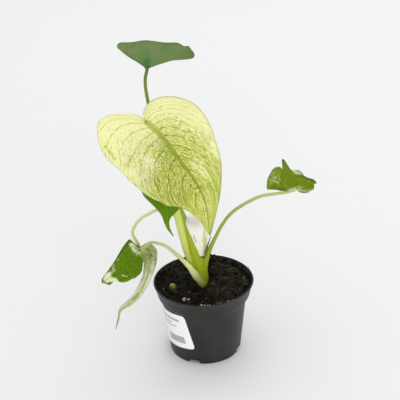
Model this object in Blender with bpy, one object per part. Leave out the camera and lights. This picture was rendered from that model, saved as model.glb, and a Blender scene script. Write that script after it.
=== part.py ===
"""A potted monstera in a small round nursery pot.

The origin is the middle of the pot's foot and +Z is up. The big variegated leaf faces -Y.
Lengths are in millimetres here, and become metres where a mesh is made.
"""
import math
import random

import bmesh
import bpy
import numpy as np
from mathutils import Matrix, Vector, noise

MM = 0.001
GAP = 0.3
SEGMENTS = 48

# Pot
POT_HEIGHT = 62.0
RIM_RADIUS = 40.0
FOOT_RADIUS = 28.6
WALL_TOP_RADIUS = 33.7
WALL_TOP = 46.5
COLLAR_RADIUS = 36.8
COLLAR_BOTTOM = 50.6
POT_WALL = 1.1
FLOOR_THICKNESS = 1.2

# Drainage notches around the foot, each with a hole in its roof
NOTCH_ANGLES = (-110.0, -20.0, 70.0, 160.0)
NOTCH_WIDTH = 10.0
NOTCH_HEIGHT = 3.5
NOTCH_INNER_RADIUS = 19.5
DRAIN_RADIUS = 2.4
DRAIN_DISTANCE = 24.0

# Paper label, turned a little on the wall
LABEL_WIDTH = 57.0
LABEL_HEIGHT = 32.0
LABEL_CORNER = 3.0
LABEL_THICKNESS = 0.4
LABEL_ANGLE = -163.5
LABEL_MIDDLE = 27.5
LABEL_TURN = 7.0

# Soil
SOIL_LEVEL = 57.5
SOIL_LUMP = 1.0
CRUMB_COUNT = 34
PERLITE_COUNT = 9
PERLITE_PLACES = ((-16.0, -23.0), (-11.5, -23.0), (13.0, -29.0), (21.0, -25.0))
STEM_CLEARANCE = 9.0

# Stem and the cut stub of an older stem
STEM_RADIUS = 3.3
STEM_BOTTOM = 42.0
STEM_TOP = 66.0
STUB_PLACE = (-24.5, -7.5)
STUB_RADIUS = 3.0
STUB_BOTTOM = 46.0
STUB_TOP = 63.9

LEAF_THICKNESS = 0.8
PETIOLE_SIDES = 10

# Each leaf has a midrib from the petiole to the tip, the way that its upper side faces, and
# the margin of each half as (distance from the midrib, distance along it), from the sinus
# round the lobe to the tip. A half leaves the midrib at its fold, in degrees, and goes on
# bending by its curl, in degrees a millimetre, each given at even steps down the midrib.
LEAVES = {
    "leaf_main": {
        "midrib": ((-38.5, 10.0, 194.5), (-28.0, 4.5, 186.0), (-14.5, -6.0, 169.5),
                   (-3.5, -14.0, 155.5), (3.5, -24.0, 141.5), (6.0, -36.0, 122.5)),
        "faces": (0.0, -0.9, 0.45),
        "left": ((0.5, -7.0), (3.0, -13.5), (9.0, -20.0), (15.5, -25.5), (22.5, -27.0),
                 (28.5, -23.5), (35.0, -16.5), (39.5, -6.5), (40.5, 5.0), (39.5, 28.0),
                 (36.5, 40.0), (32.0, 53.0), (27.5, 64.0), (20.0, 72.5), (8.0, 85.5),
                 (2.5, 93.0)),
        "right": ((1.5, -2.5), (4.0, -6.5), (10.5, -8.0), (17.5, -6.0), (24.5, -0.5),
                  (30.0, 7.5), (34.0, 13.5), (35.0, 19.5), (34.5, 27.5), (32.0, 38.5),
                  (27.0, 51.0), (21.5, 60.5), (16.0, 68.5), (9.0, 79.5), (4.0, 91.0)),
        "fold": ((6.0, 4.0), (6.0, 4.0)),
        "curl": ((0.0, 0.0), (0.0, 0.0)),
        "wave": (1.2, 5.0, 0.4),
        "colour": (0.60, 0.68, 0.20),
    },
    "leaf_behind": {
        "midrib": ((-36.5, 4.0, 172.5), (-32.5, -2.0, 158.5), (-28.5, -9.0, 141.5),
                   (-26.0, -14.0, 131.0), (-25.5, -19.0, 123.0), (-24.2, -21.0, 119.0),
                   (-21.2, -24.0, 115.0)),
        "faces": (0.0, -0.9, 0.45),
        "left": ((1.0, -4.0), (6.0, -9.5), (13.0, -10.5), (18.5, -5.0), (20.5, 4.0),
                 (18.5, 14.5), (15.0, 25.0), (13.5, 31.5), (9.5, 38.0), (6.5, 43.5),
                 (4.0, 49.5), (2.0, 56.0), (1.0, 61.0)),
        "right": ((1.0, -4.0), (6.0, -9.5), (13.0, -10.0), (18.5, -4.0), (20.5, 6.0),
                  (19.5, 18.0), (17.5, 30.0), (15.0, 39.0), (10.5, 45.5), (6.0, 48.5),
                  (3.0, 51.0), (1.6, 54.0), (1.0, 59.0)),
        "fold": ((6.0, 4.0), (6.0, 4.0)),
        "curl": ((0.0, 0.0), (0.0, 0.0)),
        "wave": (0.6, 4.0, 1.2),
        "colour": (0.16, 0.33, 0.03),
    },
    "leaf_top": {
        "midrib": ((-37.0, 25.0, 231.5), (-27.5, 30.0, 233.0), (-17.5, 36.0, 233.5),
                   (-8.0, 42.0, 232.5), (-1.5, 46.0, 233.0)),
        "faces": (0.0, 0.67, 0.74),
        "left": ((2.5, -2.0), (11.0, -7.5), (20.0, -16.0), (27.5, -22.0), (31.0, -23.0),
                 (33.0, -21.5), (33.0, -17.5), (28.0, -3.0), (22.5, 10.0), (18.0, 21.0),
                 (14.5, 25.5), (12.0, 32.0), (6.5, 39.0)),
        "right": ((2.5, -1.0), (7.0, -2.5), (12.0, -5.0), (16.5, -7.0), (19.5, -7.0),
                  (20.5, -4.0), (19.0, 3.0), (17.5, 10.0), (15.0, 19.0), (11.0, 27.5),
                  (6.0, 36.0)),
        "fold": ((22.0, 22.0), (72.0, 62.0, 40.0)),
        "curl": ((0.3, 0.3), (0.0, 0.0)),
        "wave": (0.7, 4.0, 0.2),
        "colour": (0.19, 0.27, 0.09),
    },
    "leaf_right": {
        "midrib": ((66.0, 8.0, 134.5), (74.0, 10.0, 135.5), (82.0, 13.0, 135.0),
                   (91.0, 16.0, 136.0)),
        "faces": (0.0, 0.7, 0.7),
        "left": ((1.0, -2.5), (3.5, -6.0), (6.0, -11.5), (7.0, -15.0), (14.5, -14.5),
                 (20.0, -12.0), (25.5, -9.0), (26.5, -5.5), (24.5, -3.0), (21.5, -2.0),
                 (28.0, -2.0), (31.8, -1.5), (27.5, 2.0), (21.0, 4.5), (15.5, 6.5),
                 (10.5, 8.5), (9.5, 11.0), (10.5, 14.0), (6.0, 22.5)),
        "right": ((2.0, -4.0), (8.0, -8.5), (13.5, -7.0), (16.0, -1.0), (19.5, 6.0),
                  (21.0, 11.0), (18.0, 15.0), (9.5, 20.0), (4.5, 24.0)),
        "fold": ((30.0, 30.0), (52.0, 50.0)),
        "curl": ((0.0, 0.0), (0.3, 0.3)),
        "wave": (0.5, 4.0, 0.9),
        "torn": "torn_flap",
        "colour": (0.24, 0.36, 0.03),
    },
    "leaf_left_green": {
        "midrib": ((-47.5, -10.0, 97.5), (-58.0, -13.0, 89.0), (-68.0, -17.0, 81.5),
                   (-78.5, -21.5, 74.8)),
        "faces": (0.0, -0.9, 0.45),
        "left": ((5.5, 0.5), (9.0, 1.0), (11.5, 2.0), (10.5, 9.0), (8.8, 15.0),
                 (7.0, 21.0), (4.7, 30.0), (2.6, 38.0)),
        "right": ((2.0, 0.5), (6.5, 3.0), (9.5, 6.5), (13.5, 11.5), (14.0, 17.5),
                  (12.5, 22.0), (11.0, 26.5), (8.0, 29.5), (5.5, 31.0), (5.0, 36.5)),
        "fold": ((5.0, 5.0), (5.0, 5.0)),
        "curl": ((-1.0, -0.5), (-0.6, -0.6)),
        "wave": (0.4, 3.0, 0.5),
        "colour": (0.12, 0.28, 0.02),
    },
    "leaf_left_pale": {
        "midrib": ((-43.5, -20.5, 101.5), (-40.0, -21.5, 96.5), (-40.0, -22.0, 90.5),
                   (-41.0, -22.5, 85.5), (-44.0, -23.0, 79.0), (-48.0, -23.5, 71.5),
                   (-52.0, -24.0, 64.5), (-57.5, -25.0, 58.0), (-63.5, -25.5, 54.0),
                   (-67.0, -26.0, 50.5), (-67.5, -26.0, 42.0), (-70.5, -26.0, 34.5)),
        "faces": (0.2, 0.95, 0.1),
        "left": ((2.0, -1.5), (6.0, -3.5), (9.5, -2.0), (12.0, 4.0), (12.5, 12.0),
                 (11.5, 22.0), (9.5, 32.0), (7.0, 42.0), (4.5, 50.0), (2.0, 57.0),
                 (0.8, 62.0), (0.5, 70.0)),
        "right": ((2.0, -1.5), (6.0, -3.5), (9.5, -2.0), (12.0, 4.0), (12.5, 12.0),
                  (11.5, 22.0), (9.5, 32.0), (7.0, 42.0), (4.5, 50.0), (2.0, 57.0),
                  (0.8, 62.0), (0.5, 70.0)),
        "fold": ((12.0, 12.0), (12.0, 12.0)),
        "curl": ((9.0, 12.0), (9.0, 12.0)),
        "wave": (0.0, 3.0, 0.0),
        "colour": (0.42, 0.48, 0.24),
    },
}

# Each petiole leaves the stem and runs to its leaf. Its base, up to the length given, is part
# of the stem, and its radius is given at even steps from the stem to the leaf.
PETIOLES = {
    "petiole_main": {
        "leaf": "leaf_main",
        "route": ((-0.5, -1.5, 61.0), (-2.5, -2.0, 66.0), (-5.0, -2.2, 73.0),
                  (-8.0, -2.0, 79.5), (-11.0, -1.8, 87.0), (-13.2, -1.8, 100.0),
                  (-15.6, -1.8, 114.5), (-17.1, -1.0, 125.5), (-18.5, 0.5, 132.0),
                  (-22.0, 5.0, 143.0), (-27.0, 11.0, 159.0), (-32.5, 15.5, 174.0),
                  (-36.5, 16.0, 186.0)),
        "radii": (3.2, 3.0, 2.8, 2.4, 2.1, 1.9),
        "base": 66.0,
    },
    "petiole_top": {
        "leaf": "leaf_top",
        "route": ((0.0, 1.5, 61.0), (-1.2, 1.0, 68.0), (-3.0, 1.2, 77.0),
                  (-5.0, 1.8, 86.0), (-9.2, 2.6, 99.0), (-13.0, 2.8, 112.0),
                  (-16.0, 4.0, 123.5), (-18.0, 8.5, 131.0), (-21.0, 13.0, 140.5),
                  (-25.5, 18.0, 153.0), (-30.7, 23.0, 171.0), (-35.5, 27.0, 194.0),
                  (-37.2, 28.5, 204.0), (-38.3, 28.5, 214.5), (-38.0, 27.0, 223.0)),
        "radii": (3.1, 2.8, 2.4, 1.6, 1.4, 1.3, 1.25),
        "base": 71.0,
    },
    "petiole_behind": {
        "leaf": "leaf_behind",
        "route": ((0.0, 3.0, 61.0), (-0.5, 6.0, 66.0), (-2.5, 8.5, 73.0),
                  (-6.0, 10.0, 84.5), (-9.0, 11.0, 97.5), (-12.0, 11.5, 109.0),
                  (-15.5, 12.0, 119.0), (-21.5, 12.0, 130.0), (-28.0, 11.0, 142.0),
                  (-33.5, 9.5, 153.5), (-36.0, 9.5, 164.0)),
        "radii": (2.2, 1.7, 1.5, 1.3),
        "base": 16.0,
    },
    "petiole_arched": {
        "leaf": "leaf_left_green",
        "route": ((-0.5, 3.0, 61.0), (-2.5, 7.5, 65.0), (-6.0, 13.0, 74.5),
                  (-10.5, 16.0, 89.5), (-15.5, 17.0, 101.5), (-21.5, 16.5, 112.0),
                  (-28.0, 13.0, 119.0), (-35.5, 9.0, 120.5), (-41.0, 6.0, 119.0),
                  (-45.5, 3.0, 118.0), (-50.0, 0.0, 115.0), (-52.5, -2.0, 111.5),
                  (-53.5, -4.0, 109.0), (-52.5, -5.5, 105.0), (-50.0, -6.5, 101.0)),
        "radii": (2.0, 1.4, 1.2, 1.2, 1.2),
        "base": 16.0,
    },
    "petiole_low_left": {
        "leaf": "leaf_left_pale",
        "route": ((-1.0, -2.0, 61.0), (-3.5, -5.5, 66.0), (-7.0, -7.0, 73.0),
                  (-13.5, -9.0, 82.0), (-20.0, -11.0, 91.0), (-25.5, -13.0, 98.5),
                  (-30.0, -14.0, 102.3), (-35.5, -16.5, 106.0), (-39.0, -20.0, 108.3),
                  (-42.3, -24.0, 109.3), (-45.2, -26.0, 108.0), (-45.4, -25.5, 105.2)),
        "radii": (2.6, 2.2, 1.8, 1.4, 1.2),
        "base": 19.0,
    },
    "petiole_right": {
        "leaf": "leaf_right",
        "route": ((0.5, -1.0, 61.0), (1.5, -2.0, 70.0), (3.0, -2.0, 79.0),
                  (5.0, -2.0, 88.0), (7.5, -2.0, 96.0), (10.5, -1.5, 104.5),
                  (14.0, -1.0, 111.0), (19.0, 0.0, 117.5), (25.0, 0.8, 122.5),
                  (31.0, 1.5, 126.0), (38.0, 3.0, 129.0), (47.0, 4.5, 132.0),
                  (57.0, 5.3, 133.0), (66.0, 6.5, 133.2), (70.5, 7.4, 133.6)),
        "beside": True,
        "radii": (2.8, 2.0, 1.6, 1.4, 1.3),
        "base": 19.0,
    },
}

# Folded tissue between the petioles' bases, each as a route with its radius at both ends
WEBS = (
    (((0.0, 0.0, 62.0), (0.0, 0.0, 70.0), (0.3, 0.0, 77.0), (0.5, 0.0, 82.0)), (3.2, 1.2)),
    (((-3.0, -0.5, 72.0), (-6.5, -0.3, 81.0), (-9.5, 0.2, 92.0), (-12.5, 0.4, 105.0),
      (-14.8, 0.6, 116.0), (-15.6, 0.9, 121.0)), (3.0, 1.8)),
)

# Scraps of blade: the dry sheath that stands in the fork, and the torn flap of one leaf
SCRAPS = {
    "dry_sheath": {
        "midrib": ((1.5, -3.6, 83.5), (3.1, -3.6, 89.5), (5.0, -3.6, 95.5), (8.0, -3.4, 103.0)),
        "faces": (-0.86, -0.5, 0.0),
        "left": ((0.9, 0.2), (1.1, 5.0), (0.9, 12.0), (0.5, 18.0)),
        "right": ((0.9, 0.2), (1.1, 5.0), (0.9, 12.0), (0.5, 18.0)),
        "fold": ((15.0, 10.0), (15.0, 10.0)),
        "curl": ((0.0, 0.0), (0.0, 0.0)),
        "wave": (0.0, 1.0, 0.0),
        "colour": (0.16, 0.14, 0.08),
    },
    "torn_flap": {
        "midrib": ((74.8, 10.0, 134.2), (78.5, 10.8, 132.8), (83.0, 11.6, 132.2),
                   (88.5, 13.0, 133.0)),
        "faces": (0.0, -0.9, 0.45),
        "left": ((0.8, 0.3), (2.0, 3.5), (2.2, 8.5), (1.2, 13.0)),
        "right": ((1.2, 0.3), (3.3, 3.0), (3.8, 9.0), (3.4, 13.3)),
        "fold": ((0.0, 0.0), (0.0, 0.0)),
        "curl": ((0.0, 0.0), (0.0, 0.0)),
        "wave": (0.3, 2.0, 0.0),
        "colour": (0.60, 0.60, 0.40),
    },
}


def clear_scene():
    """Remove the objects that are there."""
    for obj in list(bpy.data.objects):
        bpy.data.objects.remove(obj)


def finish(name, colour, roughness):
    """A plain material for one piece."""
    surface = bpy.data.materials.new(name)
    surface.use_nodes = True
    shader = surface.node_tree.nodes["Principled BSDF"]
    shader.inputs["Base Color"].default_value = (*colour, 1.0)
    shader.inputs["Roughness"].default_value = roughness
    shader.inputs["Metallic"].default_value = 0.0
    return surface


def add_object(name, points, faces, surface=None):
    """Make an object from points in millimetres."""
    mesh = bpy.data.meshes.new(name)
    mesh.from_pydata([tuple(float(c) * MM for c in point) for point in points], [], faces)
    mesh.shade_smooth()
    mesh.set_sharp_from_angle(angle=math.radians(35.0))
    obj = bpy.data.objects.new(name, mesh)
    bpy.context.scene.collection.objects.link(obj)
    if surface:
        mesh.materials.append(surface)
    return obj


def settle(obj):
    """Apply an object's modifiers."""
    graph = bpy.context.evaluated_depsgraph_get()
    mesh = bpy.data.meshes.new_from_object(obj.evaluated_get(graph))
    obj.modifiers.clear()
    obj.data = mesh


def cut(obj, cutter, operation="DIFFERENCE"):
    """Cut an object with another, or join the other to it, and remove the other."""
    step = obj.modifiers.new("cut", "BOOLEAN")
    step.operation = operation
    step.object = cutter
    settle(obj)
    bpy.data.objects.remove(cutter)


def join_all(obj, pieces):
    """Join many pieces to an object in one union, and remove them."""
    group = bpy.data.collections.new(obj.name + "_pieces")
    for piece in pieces:
        group.objects.link(piece)
    step = obj.modifiers.new("join", "BOOLEAN")
    step.operation = "UNION"
    step.operand_type = "COLLECTION"
    step.collection = group
    settle(obj)
    for piece in pieces:
        bpy.data.objects.remove(piece)
    bpy.data.collections.remove(group)


def smooth_path(route, count):
    """Evenly spaced points on a smooth curve through the route's points."""
    route = np.asarray(route, float)
    ends = np.vstack([2 * route[0] - route[1], route, 2 * route[-1] - route[-2]])
    curve = []
    for a, b, c, d in zip(ends, ends[1:], ends[2:], ends[3:]):
        for t in np.linspace(0.0, 1.0, 24, endpoint=False):
            curve.append(0.5 * (2 * b + (c - a) * t + (2 * a - 5 * b + 4 * c - d) * t ** 2
                                + (3 * b - a - 3 * c + d) * t ** 3))
    curve = np.array(curve + [route[-1]])
    steps = np.linalg.norm(np.diff(curve, axis=0), axis=1)
    run = np.concatenate([[0.0], np.cumsum(steps)])
    places = np.linspace(0.0, run[-1], count)
    return np.stack([np.interp(places, run, column) for column in curve.T], axis=1)


def path_length(path):
    """Length of a run of points."""
    return float(np.linalg.norm(np.diff(path, axis=0), axis=1).sum())


def unit(vectors):
    """Vectors scaled to length one."""
    return vectors / np.linalg.norm(vectors, axis=-1, keepdims=True)


def lathe(outline, name, surface=None):
    """Turn an outline of (radius, height) points that starts and ends on the axis."""
    points, rings, faces = [], [], []
    for radius, height in outline:
        if radius == 0.0:
            rings.append([len(points)] * SEGMENTS)
            points.append((0.0, 0.0, height))
            continue
        rings.append([len(points) + k for k in range(SEGMENTS)])
        for k in range(SEGMENTS):
            angle = 2 * math.pi * k / SEGMENTS
            points.append((radius * math.cos(angle), radius * math.sin(angle), height))
    for low, high in zip(rings, rings[1:]):
        for k in range(SEGMENTS):
            after = (k + 1) % SEGMENTS
            corners = [low[k], low[after], high[after], high[k]]
            faces.append(tuple(dict.fromkeys(corners)))
    return add_object(name, points, faces, surface)


def tube(name, path, radii, surface=None, facing=None):
    """A round closed tube along a path, its far end cut flat across the way it is facing."""
    path = np.asarray(path, float)
    along = unit(np.gradient(path, axis=0))
    side = np.cross(along[0], (0.3, 0.2, 1.0) if abs(along[0][2]) < 0.8 else (1.0, 0.0, 0.0))
    points, faces = [], []
    for centre, direction, radius in zip(path, along, radii):
        side = unit(side - side.dot(direction) * direction)
        other = np.cross(direction, side)
        for k in range(PETIOLE_SIDES):
            angle = 2 * math.pi * k / PETIOLE_SIDES
            points.append(centre + radius * (math.cos(angle) * side + math.sin(angle) * other))
    if facing is not None:
        for k in range(len(points) - PETIOLE_SIDES, len(points)):
            off = (points[k] - path[-1]).dot(facing) / along[-1].dot(facing)
            points[k] = points[k] - off * along[-1]
    for ring in range(len(path) - 1):
        for k in range(PETIOLE_SIDES):
            a = ring * PETIOLE_SIDES + k
            b = ring * PETIOLE_SIDES + (k + 1) % PETIOLE_SIDES
            faces.append((a, b, b + PETIOLE_SIDES, a + PETIOLE_SIDES))
    last = (len(path) - 1) * PETIOLE_SIDES
    faces.append(tuple(reversed(range(PETIOLE_SIDES))))
    faces.append(tuple(range(last, last + PETIOLE_SIDES)))
    return add_object(name, points, faces, surface)


def block(name, size, middle, angle):
    """A box turned about the pot's axis."""
    mesh = bpy.data.meshes.new(name)
    shape = bmesh.new()
    bmesh.ops.create_cube(shape, size=1.0)
    move = (Matrix.Rotation(math.radians(angle), 4, "Z") @ Matrix.Translation(Vector(middle) * MM)
            @ Matrix.Diagonal((*(Vector(size) * MM), 1.0)))
    shape.transform(move)
    shape.to_mesh(mesh)
    shape.free()
    obj = bpy.data.objects.new(name, mesh)
    bpy.context.scene.collection.objects.link(obj)
    return obj


def post(name, radius, bottom, top, place):
    """An upright round post."""
    mesh = bpy.data.meshes.new(name)
    shape = bmesh.new()
    middle = Vector((place[0], place[1], (bottom + top) / 2)) * MM
    bmesh.ops.create_cone(shape, cap_ends=True, segments=16, radius1=radius * MM,
                          radius2=radius * MM, depth=(top - bottom) * MM,
                          matrix=Matrix.Translation(middle))
    shape.to_mesh(mesh)
    shape.free()
    obj = bpy.data.objects.new(name, mesh)
    bpy.context.scene.collection.objects.link(obj)
    return obj


def turned(distance, angle):
    """A place at a distance from the pot's axis."""
    return distance * math.cos(math.radians(angle)), distance * math.sin(math.radians(angle))


def pot_outside():
    """Outside of the pot from its foot up to its lip."""
    return [
        (FOOT_RADIUS - 0.8, 0.0),
        (FOOT_RADIUS, 0.8),
        (WALL_TOP_RADIUS, WALL_TOP),
        (WALL_TOP_RADIUS + 0.8, WALL_TOP + 1.5),
        (COLLAR_RADIUS - 0.5, COLLAR_BOTTOM - 0.8),
        (COLLAR_RADIUS, COLLAR_BOTTOM + 0.2),
        (RIM_RADIUS - 1.3, POT_HEIGHT - 3.5),
        (RIM_RADIUS - 0.1, POT_HEIGHT - 1.0),
        (RIM_RADIUS, POT_HEIGHT - 0.4),
        (RIM_RADIUS - 0.3, POT_HEIGHT),
    ]


def pot_inside():
    """Inside of the pot from its lip down to its floor."""
    outside = pot_outside()[:-1]
    upper = [(radius - POT_WALL, height) for radius, height in outside[2:]]
    return [(RIM_RADIUS - 1.0, POT_HEIGHT)] + upper[::-1] + [
        (FOOT_RADIUS - POT_WALL, FLOOR_THICKNESS)]


def notch_box(name, grow, outer, low, angle):
    """The space of a drainage notch, grown on its inner sides and roof."""
    inner = NOTCH_INNER_RADIUS - grow
    high = NOTCH_HEIGHT + grow
    size = (outer - inner, NOTCH_WIDTH + 2 * grow, high - low)
    return block(name, size, ((inner + outer) / 2, 0.0, (low + high) / 2), angle)


def make_pot():
    """The thin moulded pot with its stepped collar, notched foot and drain holes."""
    outline = [(0.0, 0.0)] + pot_outside() + pot_inside() + [(0.0, FLOOR_THICKNESS)]
    pot = lathe(outline, "nursery_pot", finish("black_plastic", (0.035, 0.035, 0.034), 0.5))
    in_wall, past_wall = FOOT_RADIUS - POT_WALL, FOOT_RADIUS + 6.0
    in_floor, below_floor = FLOOR_THICKNESS / 2, -2.0
    join_all(pot, [notch_box("housing", POT_WALL, in_wall, in_floor, angle)
                   for angle in NOTCH_ANGLES])
    for angle in NOTCH_ANGLES:
        cut(pot, notch_box("notch", 0.0, past_wall, below_floor, angle))
        roof = (NOTCH_HEIGHT - 1.0, NOTCH_HEIGHT + POT_WALL + 1.0)
        cut(pot, post("drain", DRAIN_RADIUS, *roof, turned(DRAIN_DISTANCE, angle)))
    return pot


def make_label():
    """A paper label with round corners, bent round the pot's wall."""
    columns = 24
    half_width, half_height = LABEL_WIDTH / 2, LABEL_HEIGHT / 2
    turn = math.radians(LABEL_TURN)
    points, faces = [], []
    for column in range(columns + 1):
        share = 0.5 - 0.5 * math.cos(math.pi * column / columns)
        across = half_width * ((2 * column / columns - 1) * 0.75 + (2 * share - 1) * 0.25)
        into = max(0.0, LABEL_CORNER - (half_width - abs(across)))
        reach = half_height - LABEL_CORNER + math.sqrt(LABEL_CORNER ** 2 - into ** 2)
        for up in (-reach, 0.0, reach):
            height = LABEL_MIDDLE + across * math.sin(turn) + up * math.cos(turn)
            slope = (WALL_TOP_RADIUS - FOOT_RADIUS) / (WALL_TOP - 0.8)
            wall = FOOT_RADIUS + slope * (height - 0.8)
            arc = across * math.cos(turn) - up * math.sin(turn)
            angle = LABEL_ANGLE + math.degrees(arc / wall)
            for radius in (wall + GAP, wall + GAP + LABEL_THICKNESS):
                points.append((*turned(radius, angle), height))
    for column in range(columns):
        a = column * 6
        b = a + 6
        for row in (0, 2):
            faces.append((a + row + 1, b + row + 1, b + row + 3, a + row + 3))
            faces.append((a + row, a + row + 2, b + row + 2, b + row))
        faces.append((a, b, b + 1, a + 1))
        faces.append((a + 4, a + 5, b + 5, b + 4))
    last = columns * 6
    for row in (0, 2):
        faces.append((row, row + 1, row + 3, row + 2))
        faces.append((last + row, last + row + 2, last + row + 3, last + row + 1))
    return add_object("pot_label", points, faces, finish("label_paper", (0.86, 0.87, 0.84), 0.6))


def soil_height(x, y):
    """Height of the soil at a place, with its lumps."""
    rise = 0.8 * math.exp(-(x * x + y * y) / 120.0)
    coarse = noise.noise(Vector((x * 0.11, y * 0.11, 3.0)))
    fine = noise.noise(Vector((x * 0.33, y * 0.33, 7.0)))
    return SOIL_LEVEL + rise + SOIL_LUMP * (coarse + 0.6 * fine)


def grain(name, radius, place, rng):
    """One irregular crumb, sunk well into the soil."""
    mesh = bpy.data.meshes.new(name)
    shape = bmesh.new()
    bmesh.ops.create_icosphere(shape, subdivisions=1, radius=radius * MM)
    turn = Matrix.Rotation(rng.uniform(0, 6.28), 4, "Z") @ Matrix.Rotation(rng.uniform(0, 3), 4, "X")
    flat = Matrix.Diagonal((1.0, rng.uniform(0.75, 1.0), rng.uniform(0.7, 0.95), 1.0))
    middle = Vector((*place, soil_height(*place) + radius * 0.1)) * MM
    shape.transform(Matrix.Translation(middle) @ turn @ flat)
    shape.to_mesh(mesh)
    shape.free()
    obj = bpy.data.objects.new(name, mesh)
    bpy.context.scene.collection.objects.link(obj)
    return obj


def free_place(x, y):
    """Whether a grain at a place stays off the stem and the stub."""
    from_stub = math.hypot(x - STUB_PLACE[0], y - STUB_PLACE[1])
    return math.hypot(x, y) > STEM_CLEARANCE and from_stub > STUB_RADIUS + 3.5


def soil_grains():
    """Crumbs and perlite at seeded places, and the perlite at the front."""
    rng = random.Random(7)
    grains = []
    for count, low, high in ((CRUMB_COUNT, 1.5, 2.7), (PERLITE_COUNT, 1.2, 1.9)):
        while count:
            distance = 32.0 * math.sqrt(rng.random())
            x, y = turned(distance, rng.uniform(0.0, 360.0))
            if not free_place(x, y):
                continue
            grains.append(grain("grain", rng.uniform(low, high), (x, y), rng))
            count -= 1
    for place in PERLITE_PLACES:
        grains.append(grain("grain", rng.uniform(1.5, 1.9), place, rng))
    return grains


def make_soil():
    """The soil that fills the pot, with a lumpy top and a hole for each stem."""
    side = POT_WALL + GAP
    edge = RIM_RADIUS - 1.3 - side - (POT_HEIGHT - 3.5 - SOIL_LEVEL) * 0.25
    bottom = FLOOR_THICKNESS + GAP
    outline = [(0.0, bottom), (FOOT_RADIUS - side, bottom),
               (WALL_TOP_RADIUS - side, WALL_TOP), (WALL_TOP_RADIUS + 0.8 - side, WALL_TOP + 1.5),
               (COLLAR_RADIUS - 0.5 - side, COLLAR_BOTTOM - 0.8),
               (COLLAR_RADIUS - side, COLLAR_BOTTOM + 0.2), (edge, SOIL_LEVEL)]
    rings = 11
    outline += [(edge * (1 - k / rings), SOIL_LEVEL) for k in range(1, rings)] + [(0.0, SOIL_LEVEL)]
    soil = lathe(outline, "potting_soil", finish("potting_soil", (0.022, 0.018, 0.013), 0.95))
    for corner in soil.data.vertices:
        distance = math.hypot(corner.co.x, corner.co.y) / MM
        if corner.co.z / MM > SOIL_LEVEL - 0.1 and distance < edge - 0.1:
            corner.co.z = soil_height(corner.co.x / MM, corner.co.y / MM) * MM
    join_all(soil, soil_grains())
    for angle in NOTCH_ANGLES:
        cut(soil, notch_box("recess", POT_WALL + GAP, FOOT_RADIUS, 0.0, angle))
    above = SOIL_LEVEL + 15.0
    cut(soil, post("stem_hole", STEM_RADIUS + GAP, STEM_BOTTOM - GAP, above, (0.0, 0.0)))
    cut(soil, post("stub_hole", STUB_RADIUS + GAP, STUB_BOTTOM - GAP, above, STUB_PLACE))
    return soil


class Blade:
    """The bent surface that a leaf's flat outline is laid on."""

    def __init__(self, leaf, samples=60):
        self.leaf = leaf
        self.path = smooth_path(leaf["midrib"], samples)
        self.length = path_length(self.path)
        self.along = unit(np.gradient(self.path, axis=0))
        faces = np.asarray(leaf["faces"], float)
        faces = faces - (self.along @ faces)[:, None] * self.along
        self.up = unit(faces)
        self.across = np.cross(self.along, self.up)
        self.places = np.linspace(0.0, self.length, samples)

    def read(self, table, place):
        """A vector of the midrib at a distance along it."""
        return np.array([np.interp(place, self.places, column) for column in table.T])

    def point(self, half, distance, place, lift=0.0):
        """Where a spot of the flat outline lies on the bent blade, and its upward vector."""
        held = min(max(place, 0.0), self.length)
        fold, curl = (math.radians(np.interp(held / self.length, np.linspace(0, 1, len(values)),
                                             values))
                      for values in (self.leaf["fold"][half], self.leaf["curl"][half]))
        end = fold + curl * distance
        if abs(curl) > 1e-6:
            out = (math.sin(end) - math.sin(fold)) / curl
            rise = (math.cos(fold) - math.cos(end)) / curl
        else:
            out = distance * math.cos(fold)
            rise = distance * math.sin(fold)
        up = self.read(self.up, held)
        start = self.read(self.path, held) + (place - held) * self.read(self.along, held)
        side = 1.0 if half == 0 else -1.0
        return start + side * out * self.read(self.across, held) + (rise + lift) * up


def blade_surface(leaf, rows, columns):
    """Points and triangles of a leaf's middle surface, and its boundary in order."""
    blade = Blade(leaf)
    size, count, phase = leaf["wave"]
    points = [blade.point(0, 0.0, 0.0)]
    grid = {(0, half, column): 0 for half in (0, 1) for column in range(columns + 1)}
    margins = []
    for side in ("left", "right"):
        ends = ((0.0, 0.0), *leaf[side], (0.0, blade.length))
        margins.append(smooth_path(ends, rows + 1))
    for row in range(1, rows):
        share = row / rows
        rib = blade.length * (0.1 * share + 0.9 * share ** 2.6)
        grid[row, 0, 0] = grid[row, 1, 0] = len(points)
        points.append(blade.point(0, 0.0, rib))
        for half in (0, 1):
            edge = margins[half][row]
            for column in range(1, columns + 1):
                out = column / columns
                lift = size * out ** 2 * math.sin(2 * math.pi * count * share + phase + 2.0 * half)
                grid[row, half, column] = len(points)
                points.append(blade.point(half, max(edge[0], 0.3) * out,
                                          (1 - out) * rib + out * edge[1], lift))
    for half in (0, 1):
        for column in range(columns + 1):
            grid[rows, half, column] = len(points)
    points.append(blade.point(0, 0.0, blade.length))
    triangles = []
    for row in range(rows):
        for half in (0, 1):
            for column in range(columns):
                corners = [grid[row, half, column], grid[row + 1, half, column],
                           grid[row + 1, half, column + 1], grid[row, half, column + 1]]
                for three in (corners[:3], [corners[0], *corners[2:]]):
                    if len(set(three)) == 3:
                        triangles.append(three if half else three[::-1])
    boundary = [grid[row, 0, columns] for row in range(rows + 1)]
    boundary += [grid[row, 1, columns] for row in range(rows - 1, 0, -1)]
    return np.array(points), triangles, boundary


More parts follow.
